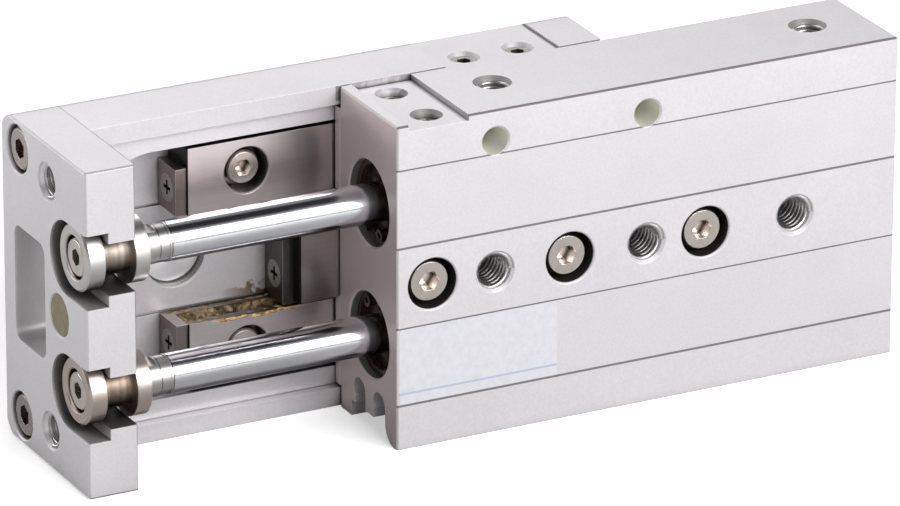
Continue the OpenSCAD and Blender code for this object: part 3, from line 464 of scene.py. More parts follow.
# Painted shade darkens the web of the channel a little, and the front of the upper rim is marked.
web_front_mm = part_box("upper_guide")[1].y / MM
to_front = facing(tree, "Y", -0.80, -0.95)
on_web = overlap(tree, to_front, within(tree, spot["Y"], web_front_mm - 0.3, web_front_mm + 0.1),
                 beyond(tree, away, recess_radius_mm + 0.3))
tinted(tree, shader, on_web, (0.87, 0.86, 0.86))
rim_height_mm = 2.5
rim_marks = ramp(tree, object_noise(tree, 0.9, detail=5.0), (0.40, 0.55), (0.62, 0.95))
rim_face = overlap(tree, to_front, beyond(tree, spot["Z"], table_top_mm - rim_height_mm),
                   beyond(tree, spot["X"], body_left - 0.5))
tinted(tree, shader, sums(tree, "MULTIPLY", rim_face, rim_marks), (0.42, 0.41, 0.39))
# Old grease has stained the web brown over the lower guide block.
stain_span = (-33.0, -17.0)
stain_rise = graded(tree, object_noise(tree, 0.35, detail=5.0), 0.30, 0.62, 0.3 * MM, 2.8 * MM)
above_block = sums(tree, "SUBTRACT", spot["Z"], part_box("lower_guide")[1].z)
stain = graded(tree, sums(tree, "SUBTRACT", stain_rise, above_block), 0.0, 0.5 * MM)
stained = overlap(tree, on_web, stain, within(tree, spot["X"], *stain_span, 3.0))
tinted(tree, shader, stained, (0.30, 0.20, 0.09))
finish_nodes(table_finish, "slide_table")

# ---- end plate ------------------------------------------------------------------------
# The plate across the table's end is milled from flat bar and has the same blasted, clear
# anodised finish, a touch darker than the extrusion.


def mouth_of(name):
    """Where a mount's hole meets its face, and the direction into the hole."""
    return Vector(mounts[name]["pos_m"]), -Vector(mounts[name]["axis"])


def pattern(name):
    """The hole centres of a mount, one hole, a line or a rectangle, and the way inward."""
    centre, inward = mouth_of(name)
    dims = mounts[name]["dims"]
    reach_x = dims.get("spacing_x_mm", 0) / 2 * MM
    reach_y = dims.get("spacing_y_mm", 0) / 2 * MM
    first, second = [axis for axis in range(3) if abs(inward[axis]) < 0.5]
    centres = []
    for along_first in sorted({-reach_x, reach_x}):
        for along_second in sorted({-reach_y, reach_y}):
            hole = centre.copy()
            hole[first] += along_first
            hole[second] += along_second
            centres.append(hole)
    return centres, inward


plate_low, plate_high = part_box("end_plate")
plate_left, plate_right, plate_front = plate_low.x / MM, plate_high.x / MM, plate_low.y / MM
# Painted shade reaches nine millimetres into the window and the bush slots.
plate_finish, tree, shader = blasted_aluminium(
    "anodised_plate", (0.79, 0.765, 0.785), (0.86, 0.85, 0.87), gap_reach=9.0)
spot = spot_of(tree)
level = sums(tree, "SUBTRACT", spot["Z"], (plate_low.z + plate_high.z) / 2)
half_height = sums(tree, "ABSOLUTE", level)
inside = overlap(tree, beyond(tree, spot["X"], plate_left + 0.35, 0.15),
                 beyond(tree, spot["Y"], plate_front + 0.3))
# Painted shade darkens the walls of the window and of the two bush slots, and more past the step in the
# slots.
stops_low, stops_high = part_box("rail_stop_plates")
window_half_mm = (stops_high.z - stops_low.z) / 2 / MM + 0.8
window_front_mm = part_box("centre_rail")[0].y / MM - 0.9
in_window = overlap(tree, inside, up_to(tree, half_height, window_half_mm),
                    within(tree, spot["Y"], window_front_mm, plate_high.y / MM - 1.0))
tinted(tree, shader, in_window, (0.84, 0.84, 0.83))
slot_drop_mm, slot_half_mm, slot_reach_mm, step_mm = 0.6, 6.2, 4.6, 3.95
slot_level = sums(tree, "ABSOLUTE", sums(tree, "ADD", level, slot_drop_mm * MM))
slot_rise = sums(tree, "ABSOLUTE", sums(tree, "SUBTRACT", slot_level, bore_spacing / 2))
slot_back_mm = rod_boxes[1][1].y / MM + slot_reach_mm
in_slot = overlap(tree, inside, up_to(tree, slot_rise, slot_half_mm),
                  within(tree, spot["Y"], plate_front, slot_back_mm))
tinted(tree, shader, in_slot, (0.50, 0.49, 0.48))
past_step = overlap(tree, in_slot, beyond(tree, spot["X"], plate_left + step_mm))
tinted(tree, shader, past_step, (0.42, 0.40, 0.38))
# Painted shade darkens the top front edge.
plate_edge_mm = 0.25
plate_edge = overlap(tree, beyond(tree, spot["Z"], plate_high.z / MM - plate_edge_mm),
                     up_to(tree, spot["Y"], plate_front + plate_edge_mm))
tinted(tree, shader, plate_edge, (0.55, 0.53, 0.54))
# The taps cut through the anodising and left bare metal at the mouths, painted bright as a highlight.
tap_mouth_radius_mm = 2.95
tap_centres = pattern("end_plate_taps")[0]
tap_rise = sums(tree, "SUBTRACT", half_height, (tap_centres[-1].z - tap_centres[0].z) / 2)
tap_depth = sums(tree, "SUBTRACT", spot["Y"], tap_centres[0].y)
at_tap = up_to(tree, radius_from(tree, tap_depth, tap_rise), tap_mouth_radius_mm)
painted(tree, shader, "Base Color", at_tap, (0.95, 0.94, 0.95))
painted(tree, shader, "Roughness", at_tap, 0.30)
# A dark hairline shows at the joint with the table.
joint = beyond(tree, spot["X"], plate_right - 0.11)
painted(tree, shader, "Base Color", joint, (0.30, 0.28, 0.29))
finish_nodes(plate_finish, "end_plate")

# ---- covers, caps and pistons -----------------------------------------------------------
# Turned from aluminium bar and lightly oiled. The lathe leaves fine rings round each bore.


def lathe_rings(tree, per_mm):
    """A fine spiral feed mark that shows on end faces and on turned lengths alike."""
    both = sums(tree, "ADD", distance_from_bores(tree), spot_of(tree)["X"])
    return sums(tree, "SINE", sums(tree, "MULTIPLY", both, per_mm * 1000 * 2 * math.pi))


def turned_metal(name, shade, stain, stain_share, gloss):
    """Turned and oiled metal; stain_share is how strongly the oil's patches show."""
    rings_per_mm, ring_depth_mm = 6.0, 0.002
    made, tree, shader = new_finish(name, Metallic=1.0)
    patches = ramp(tree, object_noise(tree, 0.55, detail=4.0, distortion=0.6),
                   (0.42, 0.0), (0.62, stain_share))
    tree.links.new(mixed(tree, patches, shade, stain), shader.inputs["Base Color"])
    wiped = graded(tree, object_noise(tree, 1.4), low=gloss * 0.8, high=gloss * 1.25)
    tree.links.new(wiped, shader.inputs["Roughness"])
    relief(tree, shader, lathe_rings(tree, rings_per_mm), ring_depth_mm, rounding_mm=0.06)
    return made


# The covers' near-black shade is painted shade, for the shade deep in the bores.
finish_nodes(turned_metal("oiled_and_shaded_aluminium", (0.09, 0.07, 0.06), (0.06, 0.035, 0.02), 0.8, 0.24),
             "rod_covers", "head_caps", "pistons")

# ---- snap rings -------------------------------------------------------------------------
# Stamped spring steel, black oiled, pressed into a groove in front of each cover and cap.

finish_nodes(turned_metal("oiled_spring_steel", (0.20, 0.17, 0.15), (0.30, 0.16, 0.09), 0.6, 0.32),
             "rod_cover_rings", "head_cap_rings")

# ---- crossed roller guide ----------------------------------------------------------------
# Hardened steel rail and guide blocks, ground lengthways on all faces. The wheel leaves
# fine scratches along the stroke and a faint warm tint.


def ground_steel(name, shade, tint, gloss, scratch_depth=0.0012):
    """Steel ground along X, of one shade with clouds of a tint; scratch_depth in millimetres."""
    made, tree, shader = new_finish(name, Metallic=1.0)
    scratches = object_noise(tree, 4.5, detail=4.0, stretch=(0.025, 1, 1))
    clouds = object_noise(tree, 0.12, detail=3.0, stretch=(0.5, 1, 1), distortion=0.4)
    warm = ramp(tree, clouds, (0.38, shade), (0.66, tint))
    lined = ramp(tree, scratches, (0.3, 0.93), (0.65, 1.0))
    # Lighter worn edges carry a painted highlight, and painted shade darkens corners and gaps.
    worn_and_lit_edges = mixed(tree, edge_highlight_and_wear(tree, 0.10), multiplied(tree, warm, lined), (0.82, 0.80, 0.79))
    corners = multiplied(tree, worn_and_lit_edges, crevice_shade(tree, 0.45, 0.25, 0.80))
    gaps = crevice_shade(tree, 3.0, (0.03, 0.025, 0.02), 0.58, shut_share=0.15, own_only=False)
    tree.links.new(multiplied(tree, corners, gaps), shader.inputs["Base Color"])
    polish = graded(tree, scratches, low=gloss * 0.8, high=gloss * 1.3)
    tree.links.new(polish, shader.inputs["Roughness"])
    relief(tree, shader, scratches, scratch_depth, rounding_mm=0.06)
    return made, tree, shader


def seam_at_end(tree, shader, name, reach_mm):
    """Darkens the joint between a bar's rod end and the stop plate on it."""
    seam = up_to(tree, spot_of(tree)["X"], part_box(name)[0].x / MM + reach_mm)
    painted(tree, shader, "Base Color", seam, (0.03, 0.03, 0.028))


guide_shade, guide_tint = (0.67, 0.61, 0.605), (0.70, 0.62, 0.605)
guide_finish, tree, shader = ground_steel("ground_guide_steel", guide_shade, guide_tint, 0.30)
seam_at_end(tree, shader, "upper_guide", 0.22)
finish_nodes(guide_finish, "upper_guide")
# Painted shade: the rail's steel is darker than the blocks', as it lies deep in the channel.
rail_finish, tree, shader = ground_steel("shaded_rail_steel", (0.44, 0.40, 0.39), (0.41, 0.35, 0.34), 0.32)
seam_at_end(tree, shader, "centre_rail", 0.3)
finish_nodes(rail_finish, "centre_rail")

# Old grease has dried to an olive crust on the top of the lower block and in its groove, and
# has run over the front edge in a few amber drops.
# Painted light: the lower block's steel is lighter than the upper block's.
greasy_finish, tree, shader = ground_steel(
    "greasy_guide_steel", (0.88, 0.81, 0.81), (0.89, 0.81, 0.80), 0.30)
spot = spot_of(tree)
guide_low, guide_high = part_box("lower_guide")
guide_front, guide_top_mm = guide_low.y / MM, guide_high.z / MM
crust_span, crust_depth_mm = (-47.0, -19.0), 1.5
lumps = object_noise(tree, 0.9, detail=5.0, distortion=1.2)
ragged = ramp(tree, object_noise(tree, 0.45, detail=4.0), (0.20, 0.0), (0.32, 1.0))
crusted = overlap(tree, beyond(tree, spot["Z"], guide_top_mm - crust_depth_mm, 0.25), ragged,
                  beyond(tree, spot["Y"], guide_front + 0.1, 0.06),
                  within(tree, spot["X"], *crust_span, 1.5))
crust = ramp(tree, lumps, (0.36, (0.02, 0.013, 0.005)), (0.47, (0.12, 0.08, 0.035)),
             (0.60, (0.24, 0.17, 0.09)), (0.74, (0.52, 0.43, 0.30)))
painted(tree, shader, "Base Color", crusted, crust)
painted(tree, shader, "Metallic", crusted, 0.0)
painted(tree, shader, "Roughness", crusted, 0.30)
drip_span, longest_drip_mm = (-40.0, -24.0), 0.75
runs = object_noise(tree, 0.30, detail=4.0, distortion=0.5)
drip_length = graded(tree, runs, 0.42, 0.62, 0.0, longest_drip_mm * MM)
drop = sums(tree, "SUBTRACT", guide_high.z, spot["Z"])
hanging = sums(tree, "SUBTRACT", drip_length, drop)
dripped = overlap(tree, graded(tree, hanging, 0.0, 0.12 * MM),
                  up_to(tree, spot["Y"], guide_front + 0.12),
                  within(tree, spot["X"], *drip_span, 1.0))
amber = ramp(tree, object_noise(tree, 0.8), (0.40, (0.14, 0.085, 0.04)), (0.6, (0.46, 0.31, 0.13)))
painted(tree, shader, "Base Color", dripped, amber)
painted(tree, shader, "Metallic", dripped, 0.0)
painted(tree, shader, "Roughness", dripped, 0.25)
# A painted shadow blackens the top front edge, and the grease has browned the bare steel beside the crust.
edge_shadow_span, browned_span, front_edge_band_mm = (-37.0, -17.0), (-45.0, -18.0), 0.10
painted_edge_shadow = overlap(tree, up_to(tree, drop, front_edge_band_mm), within(tree, spot["X"], *edge_shadow_span, 1.5))
painted(tree, shader, "Base Color", painted_edge_shadow, (0.05, 0.028, 0.012))
browned = overlap(tree, up_to(tree, drop, front_edge_band_mm), within(tree, spot["X"], *browned_span, 1.5))
tinted(tree, shader, browned, (0.62, 0.50, 0.36))
seam_at_end(tree, shader, "lower_guide", 0.22)
finish_nodes(greasy_finish, "lower_guide")

# ---- stop plates --------------------------------------------------------------------------
# Small plates sawn from ground strip and screwed across the ends of the rail and blocks.

# Painted shade: both plates' steel is darker than the blocks', as they sit deep in the channel.
finish_nodes(ground_steel("sawn_stop_plate", (0.30, 0.26, 0.24), (0.25, 0.21, 0.19), 0.38, 0.004)[0],
             "guide_stop_plates")
finish_nodes(ground_steel("shaded_rail_stop_plate", (0.11, 0.11, 0.10), (0.09, 0.095, 0.085), 0.34, 0.004)[0],
             "rail_stop_plates")

# ---- roller cages and rollers ----------------------------------------------------------
# Each cage is a stamped brass strip; the rollers in it are lapped steel and nearly mirrors.

cage_finish, tree, shader = new_finish("stamped_brass", Metallic=1.0)
tarnish = ramp(tree, object_noise(tree, 0.4, detail=4.0),
               (0.35, (0.72, 0.55, 0.26)), (0.7, (0.52, 0.36, 0.15)))
tree.links.new(tarnish, shader.inputs["Base Color"])
tree.links.new(graded(tree, object_noise(tree, 2.0), low=0.25, high=0.42),
               shader.inputs["Roughness"])
relief(tree, shader, object_noise(tree, 1.2), 0.006, rounding_mm=0.05)
finish_nodes(cage_finish, "upper_cage", "lower_cage")


def polished_steel(name, shade, smear_shade, gloss):
    made, tree, shader = new_finish(name, Metallic=1.0)
    smears = object_noise(tree, 0.25, detail=5.0, stretch=(0.4, 1, 1), distortion=0.8)
    tree.links.new(ramp(tree, smears, (0.4, shade), (0.75, smear_shade)), shader.inputs["Base Color"])
    polish = graded(tree, smears, low=gloss * 0.6, high=gloss * 1.6)
    tree.links.new(polish, shader.inputs["Roughness"])
    relief(tree, shader, object_noise(tree, 0.5, detail=1.0), 0.0003)
    return made, tree, shader


finish_nodes(polished_steel("lapped_roller_steel", (0.78, 0.78, 0.80), (0.68, 0.66, 0.62), 0.08)[0],
             "upper_rollers", "lower_rollers")

# ---- rods -----------------------------------------------------------------------------------
# Ground steel bar with a polished hard chrome plating. Behind each bush the rod has two
# spanner flats and a short turned band.

rod_finish, tree, shader = polished_steel("hard_chrome_rod", (0.96, 0.96, 1.0), (0.90, 0.90, 0.96), 0.14)
rod_end_mm, turned_mm = rod_boxes[1][0].x / MM, 4.8
scribe_lines_mm = ((2.75, 2.90), (4.72, 4.88))
along = spot_of(tree)["X"]
turned_band = up_to(tree, along, rod_end_mm + turned_mm)
painted(tree, shader, "Roughness", turned_band, 0.34)
painted(tree, shader, "Base Color", turned_band, (0.60, 0.59, 0.585))
first_line, second_line = [within(tree, along, rod_end_mm + start, rod_end_mm + stop)
                           for start, stop in scribe_lines_mm]
scribed = sums(tree, "ADD", first_line, second_line)
painted(tree, shader, "Base Color", scribed, (0.16, 0.15, 0.14))
# Painted reflection: the underside is darkened, darkest at the bottom.
painted(tree, shader, "Base Color", facing(tree, "Z", -0.40, -0.58), (0.26, 0.255, 0.27))
painted(tree, shader, "Base Color", facing(tree, "Z", -0.66, -0.76), (0.05, 0.045, 0.045))
finish_nodes(rod_finish, "upper_rod", "lower_rod")

# ---- bushes -----------------------------------------------------------------------------------
# Flanged bushes turned from stainless bar. They float in the end plate's slots, and grease
# has browned the neck between the flanges.

bush_finish, tree, shader = new_finish("turned_stainless", Metallic=1.0)
spot = spot_of(tree)
bush_end_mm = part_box("upper_bush")[0].x / MM
neck_from_mm, neck_to_mm = 2.9, 8.05
in_neck = within(tree, spot["X"], bush_end_mm + neck_from_mm, bush_end_mm + neck_to_mm, 0.1)
grooved = ramp(tree, object_noise(tree, 0.9, detail=2.0, stretch=(1, 0, 0)),
               (0.35, (0.26, 0.20, 0.155)), (0.62, (0.46, 0.40, 0.345)))
blotches = ramp(tree, object_noise(tree, 0.5, detail=4.0, distortion=0.5), (0.35, 0.72), (0.65, 1.0))
ring_grey = mixed(tree, in_neck, (0.72, 0.69, 0.67), multiplied(tree, grooved, blotches))
# Painted shade darkens the gaps.
gaps = crevice_shade(tree, 1.6, (0.10, 0.07, 0.05), 0.60, shut_share=0.12, own_only=False)
tree.links.new(multiplied(tree, ring_grey, gaps), shader.inputs["Base Color"])
tree.links.new(graded(tree, object_noise(tree, 1.5), low=0.30, high=0.40),
               shader.inputs["Roughness"])
painted(tree, shader, "Roughness", in_neck, 0.5)
# Painted shade darkens the neck's underside to near black and the flanges' undersides.
under_neck = overlap(tree, in_neck, facing(tree, "Z", -0.05, -0.60))
painted(tree, shader, "Base Color", under_neck, (0.02, 0.016, 0.013))
painted(tree, shader, "Base Color", facing(tree, "Z", -0.62, -0.80), (0.10, 0.08, 0.065))
# The lower bush is tinted a darker straw brown.
tinted(tree, shader, up_to(tree, spot["Z"], mid_height / MM), (0.87, 0.79, 0.735))
relief(tree, shader, lathe_rings(tree, 5.0), 0.0015, rounding_mm=0.08)
finish_nodes(bush_finish, "upper_bush", "lower_bush")

# ---- socket screws ------------------------------------------------------------------------------
# Nickel plated socket head cap screws. The head's face is faced off, its rim is bevelled and
# lit with a painted highlight, and painted shade darkens the bottom of the hexagon.


def plated_screw(name, shade, recess_shade, gloss):
    """Plating of one shade, with a painted highlight along its edges and painted shade in the recess."""
    made, tree, shader = new_finish(name, Metallic=1.0)
    plating = ramp(tree, object_noise(tree, 0.5, detail=4.0, distortion=0.4),
                   (0.35, shade), (0.7, tuple(0.88 * c for c in shade)))
    rimmed = mixed(tree, edge_highlight_and_wear(tree, 0.14), plating, tuple(min(0.97, 1.2 * c) for c in shade))
    corner = put(tree, "ShaderNodeAmbientOcclusion", {"Distance": 1.6 * MM}, samples=8)
    painted_recess_shade = ramp(tree, corner.outputs["AO"], (0.35, 1.0), (0.72, 0.0))
    tree.links.new(mixed(tree, painted_recess_shade, rimmed, recess_shade), shader.inputs["Base Color"])
    polish = graded(tree, object_noise(tree, 2.2), low=gloss * 0.75, high=gloss * 1.3)
    tree.links.new(polish, shader.inputs["Roughness"])
    relief(tree, shader, object_noise(tree, 3.0, detail=4.0), 0.0012, rounding_mm=0.08)
    return made


finish_nodes(plated_screw("nickel_plated_screw", (0.92, 0.84, 0.78), (0.06, 0.04, 0.03), 0.22),
             "rail_screws", "guide_screws", "bush_screws")
finish_nodes(plated_screw("smoked_plated_screw", (0.58, 0.51, 0.48), (0.06, 0.04, 0.03), 0.26),
             "end_plate_screws")

# ---- small screws and plugs --------------------------------------------------------------------
# Zinc plated countersunk screws hold the stop plates, and zinc plated set screws close the
# passages and preload the upper guide block.

finish_nodes(plated_screw("zinc_plated_screw", (0.40, 0.38, 0.35), (0.03, 0.025, 0.02), 0.34),
             "rail_stop_screws", "guide_stop_screws", "passage_plugs", "preload_screws")

# ---- seals, bumper and magnets -------------------------------------------------------------------
# Black nitrile lip seals and rings, an olive urethane bumper in the end plate, and bonded
# ferrite magnets in the pistons.


def rubber(name, shade, worn_shade, gloss, glow=0.0):
    made, tree, shader = new_finish(name, Subsurface_Weight=glow)
    bloom = object_noise(tree, 0.7, detail=4.0)
    tree.links.new(ramp(tree, bloom, (0.35, shade), (0.7, worn_shade)), shader.inputs["Base Color"])
    tree.links.new(graded(tree, bloom, low=gloss * 0.85, high=gloss * 1.2),
                   shader.inputs["Roughness"])
    relief(tree, shader, object_noise(tree, 2.5, detail=3.0), 0.01, rounding_mm=0.08)
    return made


finish_nodes(rubber("black_nitrile", (0.02, 0.02, 0.02), (0.045, 0.043, 0.04), 0.45),
             "rod_seals", "rod_cover_seals", "head_cap_seals", "piston_seals")
finish_nodes(rubber("olive_urethane", (0.22, 0.185, 0.11), (0.29, 0.245, 0.155), 0.38), "end_bumper")
finish_nodes(rubber("bonded_ferrite", (0.07, 0.07, 0.075), (0.11, 0.11, 0.115), 0.6), "piston_magnets")

# ---- screw threads in the open holes ----------------------------------------------------------------
# The body, the end plate and the table have open tapped holes. A tap cuts one helical ridge
# in each, with 60 degree flanks, that fades out at the mouth.


def geometry_tree(name, **kinds):
    """A node group that takes geometry and named inputs; returns it and its input sockets."""
    tree = bpy.data.node_groups.new(name, "GeometryNodeTree")
    face = tree.interface
    face.new_socket("Geometry", in_out="INPUT", socket_type="NodeSocketGeometry")
    for given_name, kind in kinds.items():
        face.new_socket(given_name, in_out="INPUT", socket_type="NodeSocket" + kind)
    face.new_socket("Geometry", in_out="OUTPUT", socket_type="NodeSocketGeometry")
    return tree, put(tree, "NodeGroupInput").outputs


def thread_tree():
    """Geometry nodes: a helical ridge at each vertex, pointing along Axis into the hole."""
    tree, given = geometry_tree("tapped_thread", Radius="Float", Pitch="Float", Depth="Float",
                                Axis="Vector", Metal="Material")
    steps_per_turn = 40
    helix = put(tree, "GeometryNodeCurveSpiral", {
        "Resolution": steps_per_turn, "Start Radius": given["Radius"],
        "Rotations": sums(tree, "DIVIDE", given["Depth"], given["Pitch"]),
        "End Radius": given["Radius"], "Height": given["Depth"]})
    along = put(tree, "GeometryNodeSplineParameter").outputs["Factor"]
    fade_in = graded(tree, along, 0.0, 0.09, 0.05, 1.0)
    faded = put(tree, "GeometryNodeSetCurveRadius", {"Curve": helix.outputs[0], "Radius": fade_in})
    upright = put(tree, "GeometryNodeSetCurveNormal", {"Curve": faded.outputs[0]}, mode="Z_UP")
    ridge = put(tree, "GeometryNodeCurvePrimitiveCircle", {"Resolution": 3, "Radius": 1.0})
    # A circle through three points is the triangle whose sides are one pitch long.
    size = sums(tree, "MULTIPLY", given["Pitch"], 1 / math.sqrt(3))
    scale = put(tree, "ShaderNodeCombineXYZ", {0: size, 1: size, 2: size})
    profile = put(tree, "GeometryNodeTransform", {"Geometry": ridge.outputs[0], "Scale": scale.outputs[0]})
    swept = put(tree, "GeometryNodeCurveToMesh",
                {"Curve": upright.outputs[0], "Profile Curve": profile.outputs[0], "Fill Caps": True})
    turned = put(tree, "FunctionNodeAlignRotationToVector", {"Vector": given["Axis"]}, axis="Z")
    placed = put(tree, "GeometryNodeInstanceOnPoints", {
        "Points": given["Geometry"], "Instance": swept.outputs[0], "Rotation": turned.outputs[0]})
    real = put(tree, "GeometryNodeRealizeInstances", {0: placed.outputs[0]})
    plated = put(tree, "GeometryNodeSetMaterial", {"Geometry": real.outputs[0], "Material": given["Metal"]})
    put(tree, "NodeGroupOutput", {0: plated.outputs[0]})
    return tree


tapping = thread_tree()

# Painted highlight lightens the crests, and painted shade darkens the roots.
thread_finish, tree, shader = new_finish("cut_aluminium_thread", Metallic=1.0, Roughness=0.33)
crests = mixed(tree, edge_highlight_and_wear(tree, 0.08), (0.72, 0.71, 0.70), (0.97, 0.97, 0.97))
roots = crevice_shade(tree, 0.45, (0.10, 0.10, 0.09), 0.66, shut_share=0.20, own_only=False)
tree.links.new(multiplied(tree, crests, roots), shader.inputs["Base Color"])


def grown(name, points, tree, faces=(), **inputs):
    """Runs a geometry tree on points, or on the faces they span, and keeps a plain mesh."""
    seed = bpy.data.meshes.new(name + "_points")
    seed.from_pydata([tuple(p) for p in points], [], faces)
    carrier = bpy.data.objects.new(name + "_carrier", seed)
    bpy.context.collection.objects.link(carrier)
    modifier = carrier.modifiers.new("grow", "NODES")
    modifier.node_group = tree
    for item in tree.interface.items_tree:
        if item.item_type == "SOCKET" and item.in_out == "INPUT" and item.name in inputs:
            modifier[item.identifier] = inputs[item.name]
    carrier.update_tag()
    bpy.context.view_layer.update()
    finished = carrier.evaluated_get(bpy.context.evaluated_depsgraph_get())
    mesh = bpy.data.meshes.new_from_object(finished)
    mesh.name = name
    bpy.data.objects.remove(carrier)
    made = bpy.data.objects.new(name, mesh)
    bpy.context.collection.objects.link(made)
    return made


def tapped(name, body, slot, metal, centres, inward, face, diameter, pitch, depth):
    """Threads in like holes that lead inward from the plane through face; sizes in millimetres."""
    lead = 0.6 * pitch * MM
    mouths = [centre + inward * ((Vector(face) - centre).dot(inward) + lead) for centre in centres]
    made = grown(name, mouths, tapping, Radius=diameter / 2 * MM, Pitch=pitch * MM,
                 Depth=depth * MM - 2 * lead, Axis=tuple(inward), Metal=metal)
    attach(made, body)
    return made


body_taps = [mouth_of("body_tap_%d" % (n + 1))[0] for n in range(3)]
tapped("body_tap_threads", "cylinder", "body_aluminium", thread_finish,
       body_taps, mouth_of("body_tap_1")[1], body_low, 6.0, 1.0, 12.0)
ports = [mouth_of(name)[0] for name in ("rod_side_port", "head_side_port")]
tapped("port_threads", "cylinder", "body_aluminium", thread_finish,
       ports, mouth_of("rod_side_port")[1], body_high, 5.0, 0.8, 6.8)
tapped("end_plate_threads", "table", "plate_aluminium", thread_finish,
       *pattern("end_plate_taps"), plate_low, 5.0, 0.8, 8.0)
tapped("table_threads", "table", "body_aluminium", thread_finish,
       *pattern("table_taps"), table_high, 5.0, 0.8, 5.0)

# ---- grease ------------------------------------------------------------------------------------------------
# Grease pressed out of the roller guide: flat dried drops on both sides of the lower block's
# groove, and amber beads that hang from its front edge.


def drop_tree():
    """Geometry nodes: flattened lumpy drops scattered over the faces of a seed."""
    tree, given = geometry_tree("grease_drops", Density="Float", Smallest="Vector",
                                Largest="Vector", Seed="Int", Grease="Material")
    spots = put(tree, "GeometryNodeDistributePointsOnFaces", {
        "Mesh": given["Geometry"], "Density": given["Density"], "Seed": given["Seed"]})
    size = put(tree, "FunctionNodeRandomValue", {
        0: given["Smallest"], 1: given["Largest"], "Seed": given["Seed"]}, data_type="FLOAT_VECTOR")
    bead = put(tree, "GeometryNodeMeshIcoSphere", {"Radius": 1.0, "Subdivisions": 3})
    placed = put(tree, "GeometryNodeInstanceOnPoints", {
        "Points": spots.outputs["Points"], "Instance": bead.outputs[0], "Scale": size.outputs[0]})
    real = put(tree, "GeometryNodeRealizeInstances", {0: placed.outputs[0]})
    bumps = put(tree, "ShaderNodeTexNoise", {
        "Vector": put(tree, "GeometryNodeInputPosition").outputs[0], "Scale": 1800.0, "Detail": 2.0})
    swell = graded(tree, bumps.outputs["Fac"], 0.2, 0.8, -0.04 * MM, 0.03 * MM)
    push = put(tree, "ShaderNodeVectorMath", {
        0: put(tree, "GeometryNodeInputNormal").outputs[0], "Scale": swell}, operation="SCALE")
    lumpy = put(tree, "GeometryNodeSetPosition", {"Geometry": real.outputs[0], "Offset": push.outputs[0]})
    smooth = put(tree, "GeometryNodeSetShadeSmooth", {"Geometry": lumpy.outputs[0]})
    painted_recess_shade = put(tree, "GeometryNodeSetMaterial",
                 {"Geometry": smooth.outputs[0], "Material": given["Grease"]})
    put(tree, "NodeGroupOutput", {0: painted_recess_shade.outputs[0]})
    return tree


def grease_finish(name, dark, light, gloss):
    made, tree, shader = new_finish(
        name, Roughness=gloss, Subsurface_Weight=0.15, Subsurface_Scale=0.5 * MM)
    shades = ramp(tree, object_noise(tree, 0.9, detail=4.0), (0.38, dark), (0.62, light))
    tree.links.new(shades, shader.inputs["Base Color"])
    return made


def strip(x_from, x_to, low, high):
    """A quad in millimetres between two (Y, Z) edges."""
    corners = ((x_from, low), (x_to, low), (x_to, high), (x_from, high))
    return [Vector((x, *edge)) * MM for x, edge in corners]


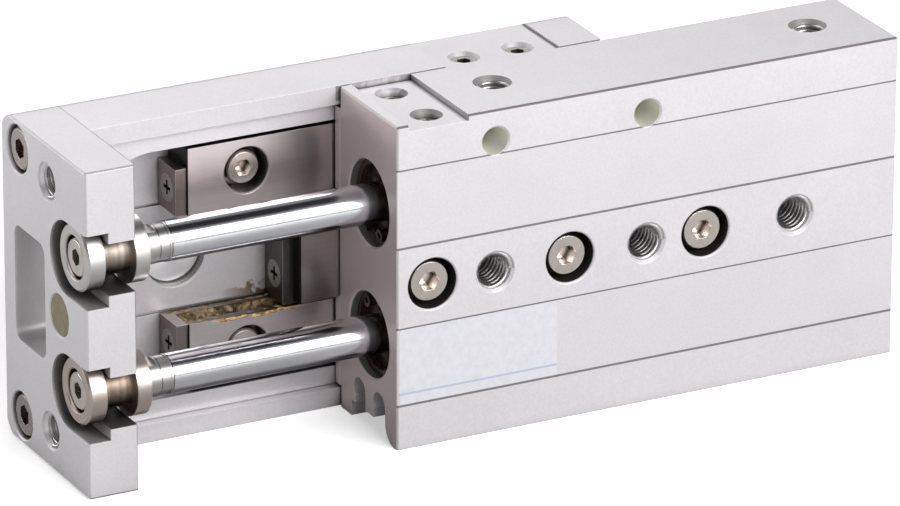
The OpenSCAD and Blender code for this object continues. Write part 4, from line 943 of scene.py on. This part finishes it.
dropping = drop_tree()
dried = grown(
    "dried_grease",
    strip(-44.5, -23.0, (guide_front + 0.65, guide_top_mm), (guide_front + 1.0, guide_top_mm))
    + strip(-45.0, -22.0, (guide_front + 5.35, guide_top_mm), (guide_front + 6.3, guide_top_mm)),
    dropping, faces=[(0, 1, 2, 3), (4, 5, 6, 7)], Density=1.5e6, Seed=4,
    Smallest=(0.25 * MM, 0.12 * MM, 0.05 * MM), Largest=(0.9 * MM, 0.30 * MM, 0.11 * MM),
    Grease=grease_finish("dried_grease", (0.045, 0.032, 0.016), (0.34, 0.27, 0.16), 0.28))
beads = grown(
    "grease_beads",
    strip(-38.0, -26.5, (guide_front - 0.03, guide_top_mm - 0.60), (guide_front - 0.03, guide_top_mm - 0.15)),
    dropping, faces=[(0, 1, 2, 3)], Density=4.0e6, Seed=9,
    Smallest=(0.3 * MM, 0.10 * MM, 0.12 * MM), Largest=(1.1 * MM, 0.27 * MM, 0.34 * MM),
    Grease=grease_finish("amber_grease", (0.22, 0.13, 0.05), (0.62, 0.44, 0.18), 0.2))
for made in (dried, beads):
    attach(made, "table")

# ---- label ------------------------------------------------------------------------------------------------
# A blank coated paper label, stuck in the body's lower sunk band at the rod end. A printer
# left one thin blue-grey rule along its lower edge.

label_thick = 0.07 * MM
label_left = body_low.x + 0.4 * MM
label_length = 27.7 * MM
label_bottom = body_low.z + 7.55 * MM
label_height = 12.6 * MM
band_floor = body_low.y + 0.15 * MM
corner_radius = 0.5 * MM
corner_steps = 6

outline = []
for corner, (side_x, side_z) in enumerate(((1, 1), (0, 1), (0, 0), (1, 0))):
    for step in range(corner_steps + 1):
        turn = math.pi / 2 * (corner + step / corner_steps)
        outline.append((
            label_left + corner_radius + side_x * (label_length - 2 * corner_radius)
            + corner_radius * math.cos(turn),
            label_bottom + corner_radius + side_z * (label_height - 2 * corner_radius)
            + corner_radius * math.sin(turn),
        ))
count = len(outline)
backs = [(x, band_floor, z) for x, z in outline]
fronts = [(x, band_floor - label_thick, z) for x, z in outline]
faces = [tuple(range(count, 2 * count)), tuple(reversed(range(count)))]
faces += [(n, (n + 1) % count, count + (n + 1) % count, count + n) for n in range(count)]
label_mesh = bpy.data.meshes.new("blank_label")
label_mesh.from_pydata(backs + fronts, [], faces)
label = bpy.data.objects.new("blank_label", label_mesh)
bpy.context.collection.objects.link(label)

label_finish, tree, shader = new_finish("coated_label", Roughness=0.32, Coat_Weight=0.35, Coat_Roughness=0.18)
rule_height = label_bottom + 1.75 * MM
from_rule = sums(tree, "SUBTRACT", spot_of(tree)["Z"], rule_height)
ink = graded(tree, sums(tree, "ABSOLUTE", from_rule), 0.20 * MM, 0.13 * MM)
fibres = object_noise(tree, 0.9, detail=4.0)
paper_shade = ramp(tree, fibres, (0.35, (0.60, 0.60, 0.64)), (0.65, (0.65, 0.65, 0.69)))
tree.links.new(mixed(tree, ink, paper_shade, (0.42, 0.46, 0.58)), shader.inputs["Base Color"])
relief(tree, shader, fibres, 0.004)
label_mesh.materials.append(label_finish)
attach(label, "cylinder")
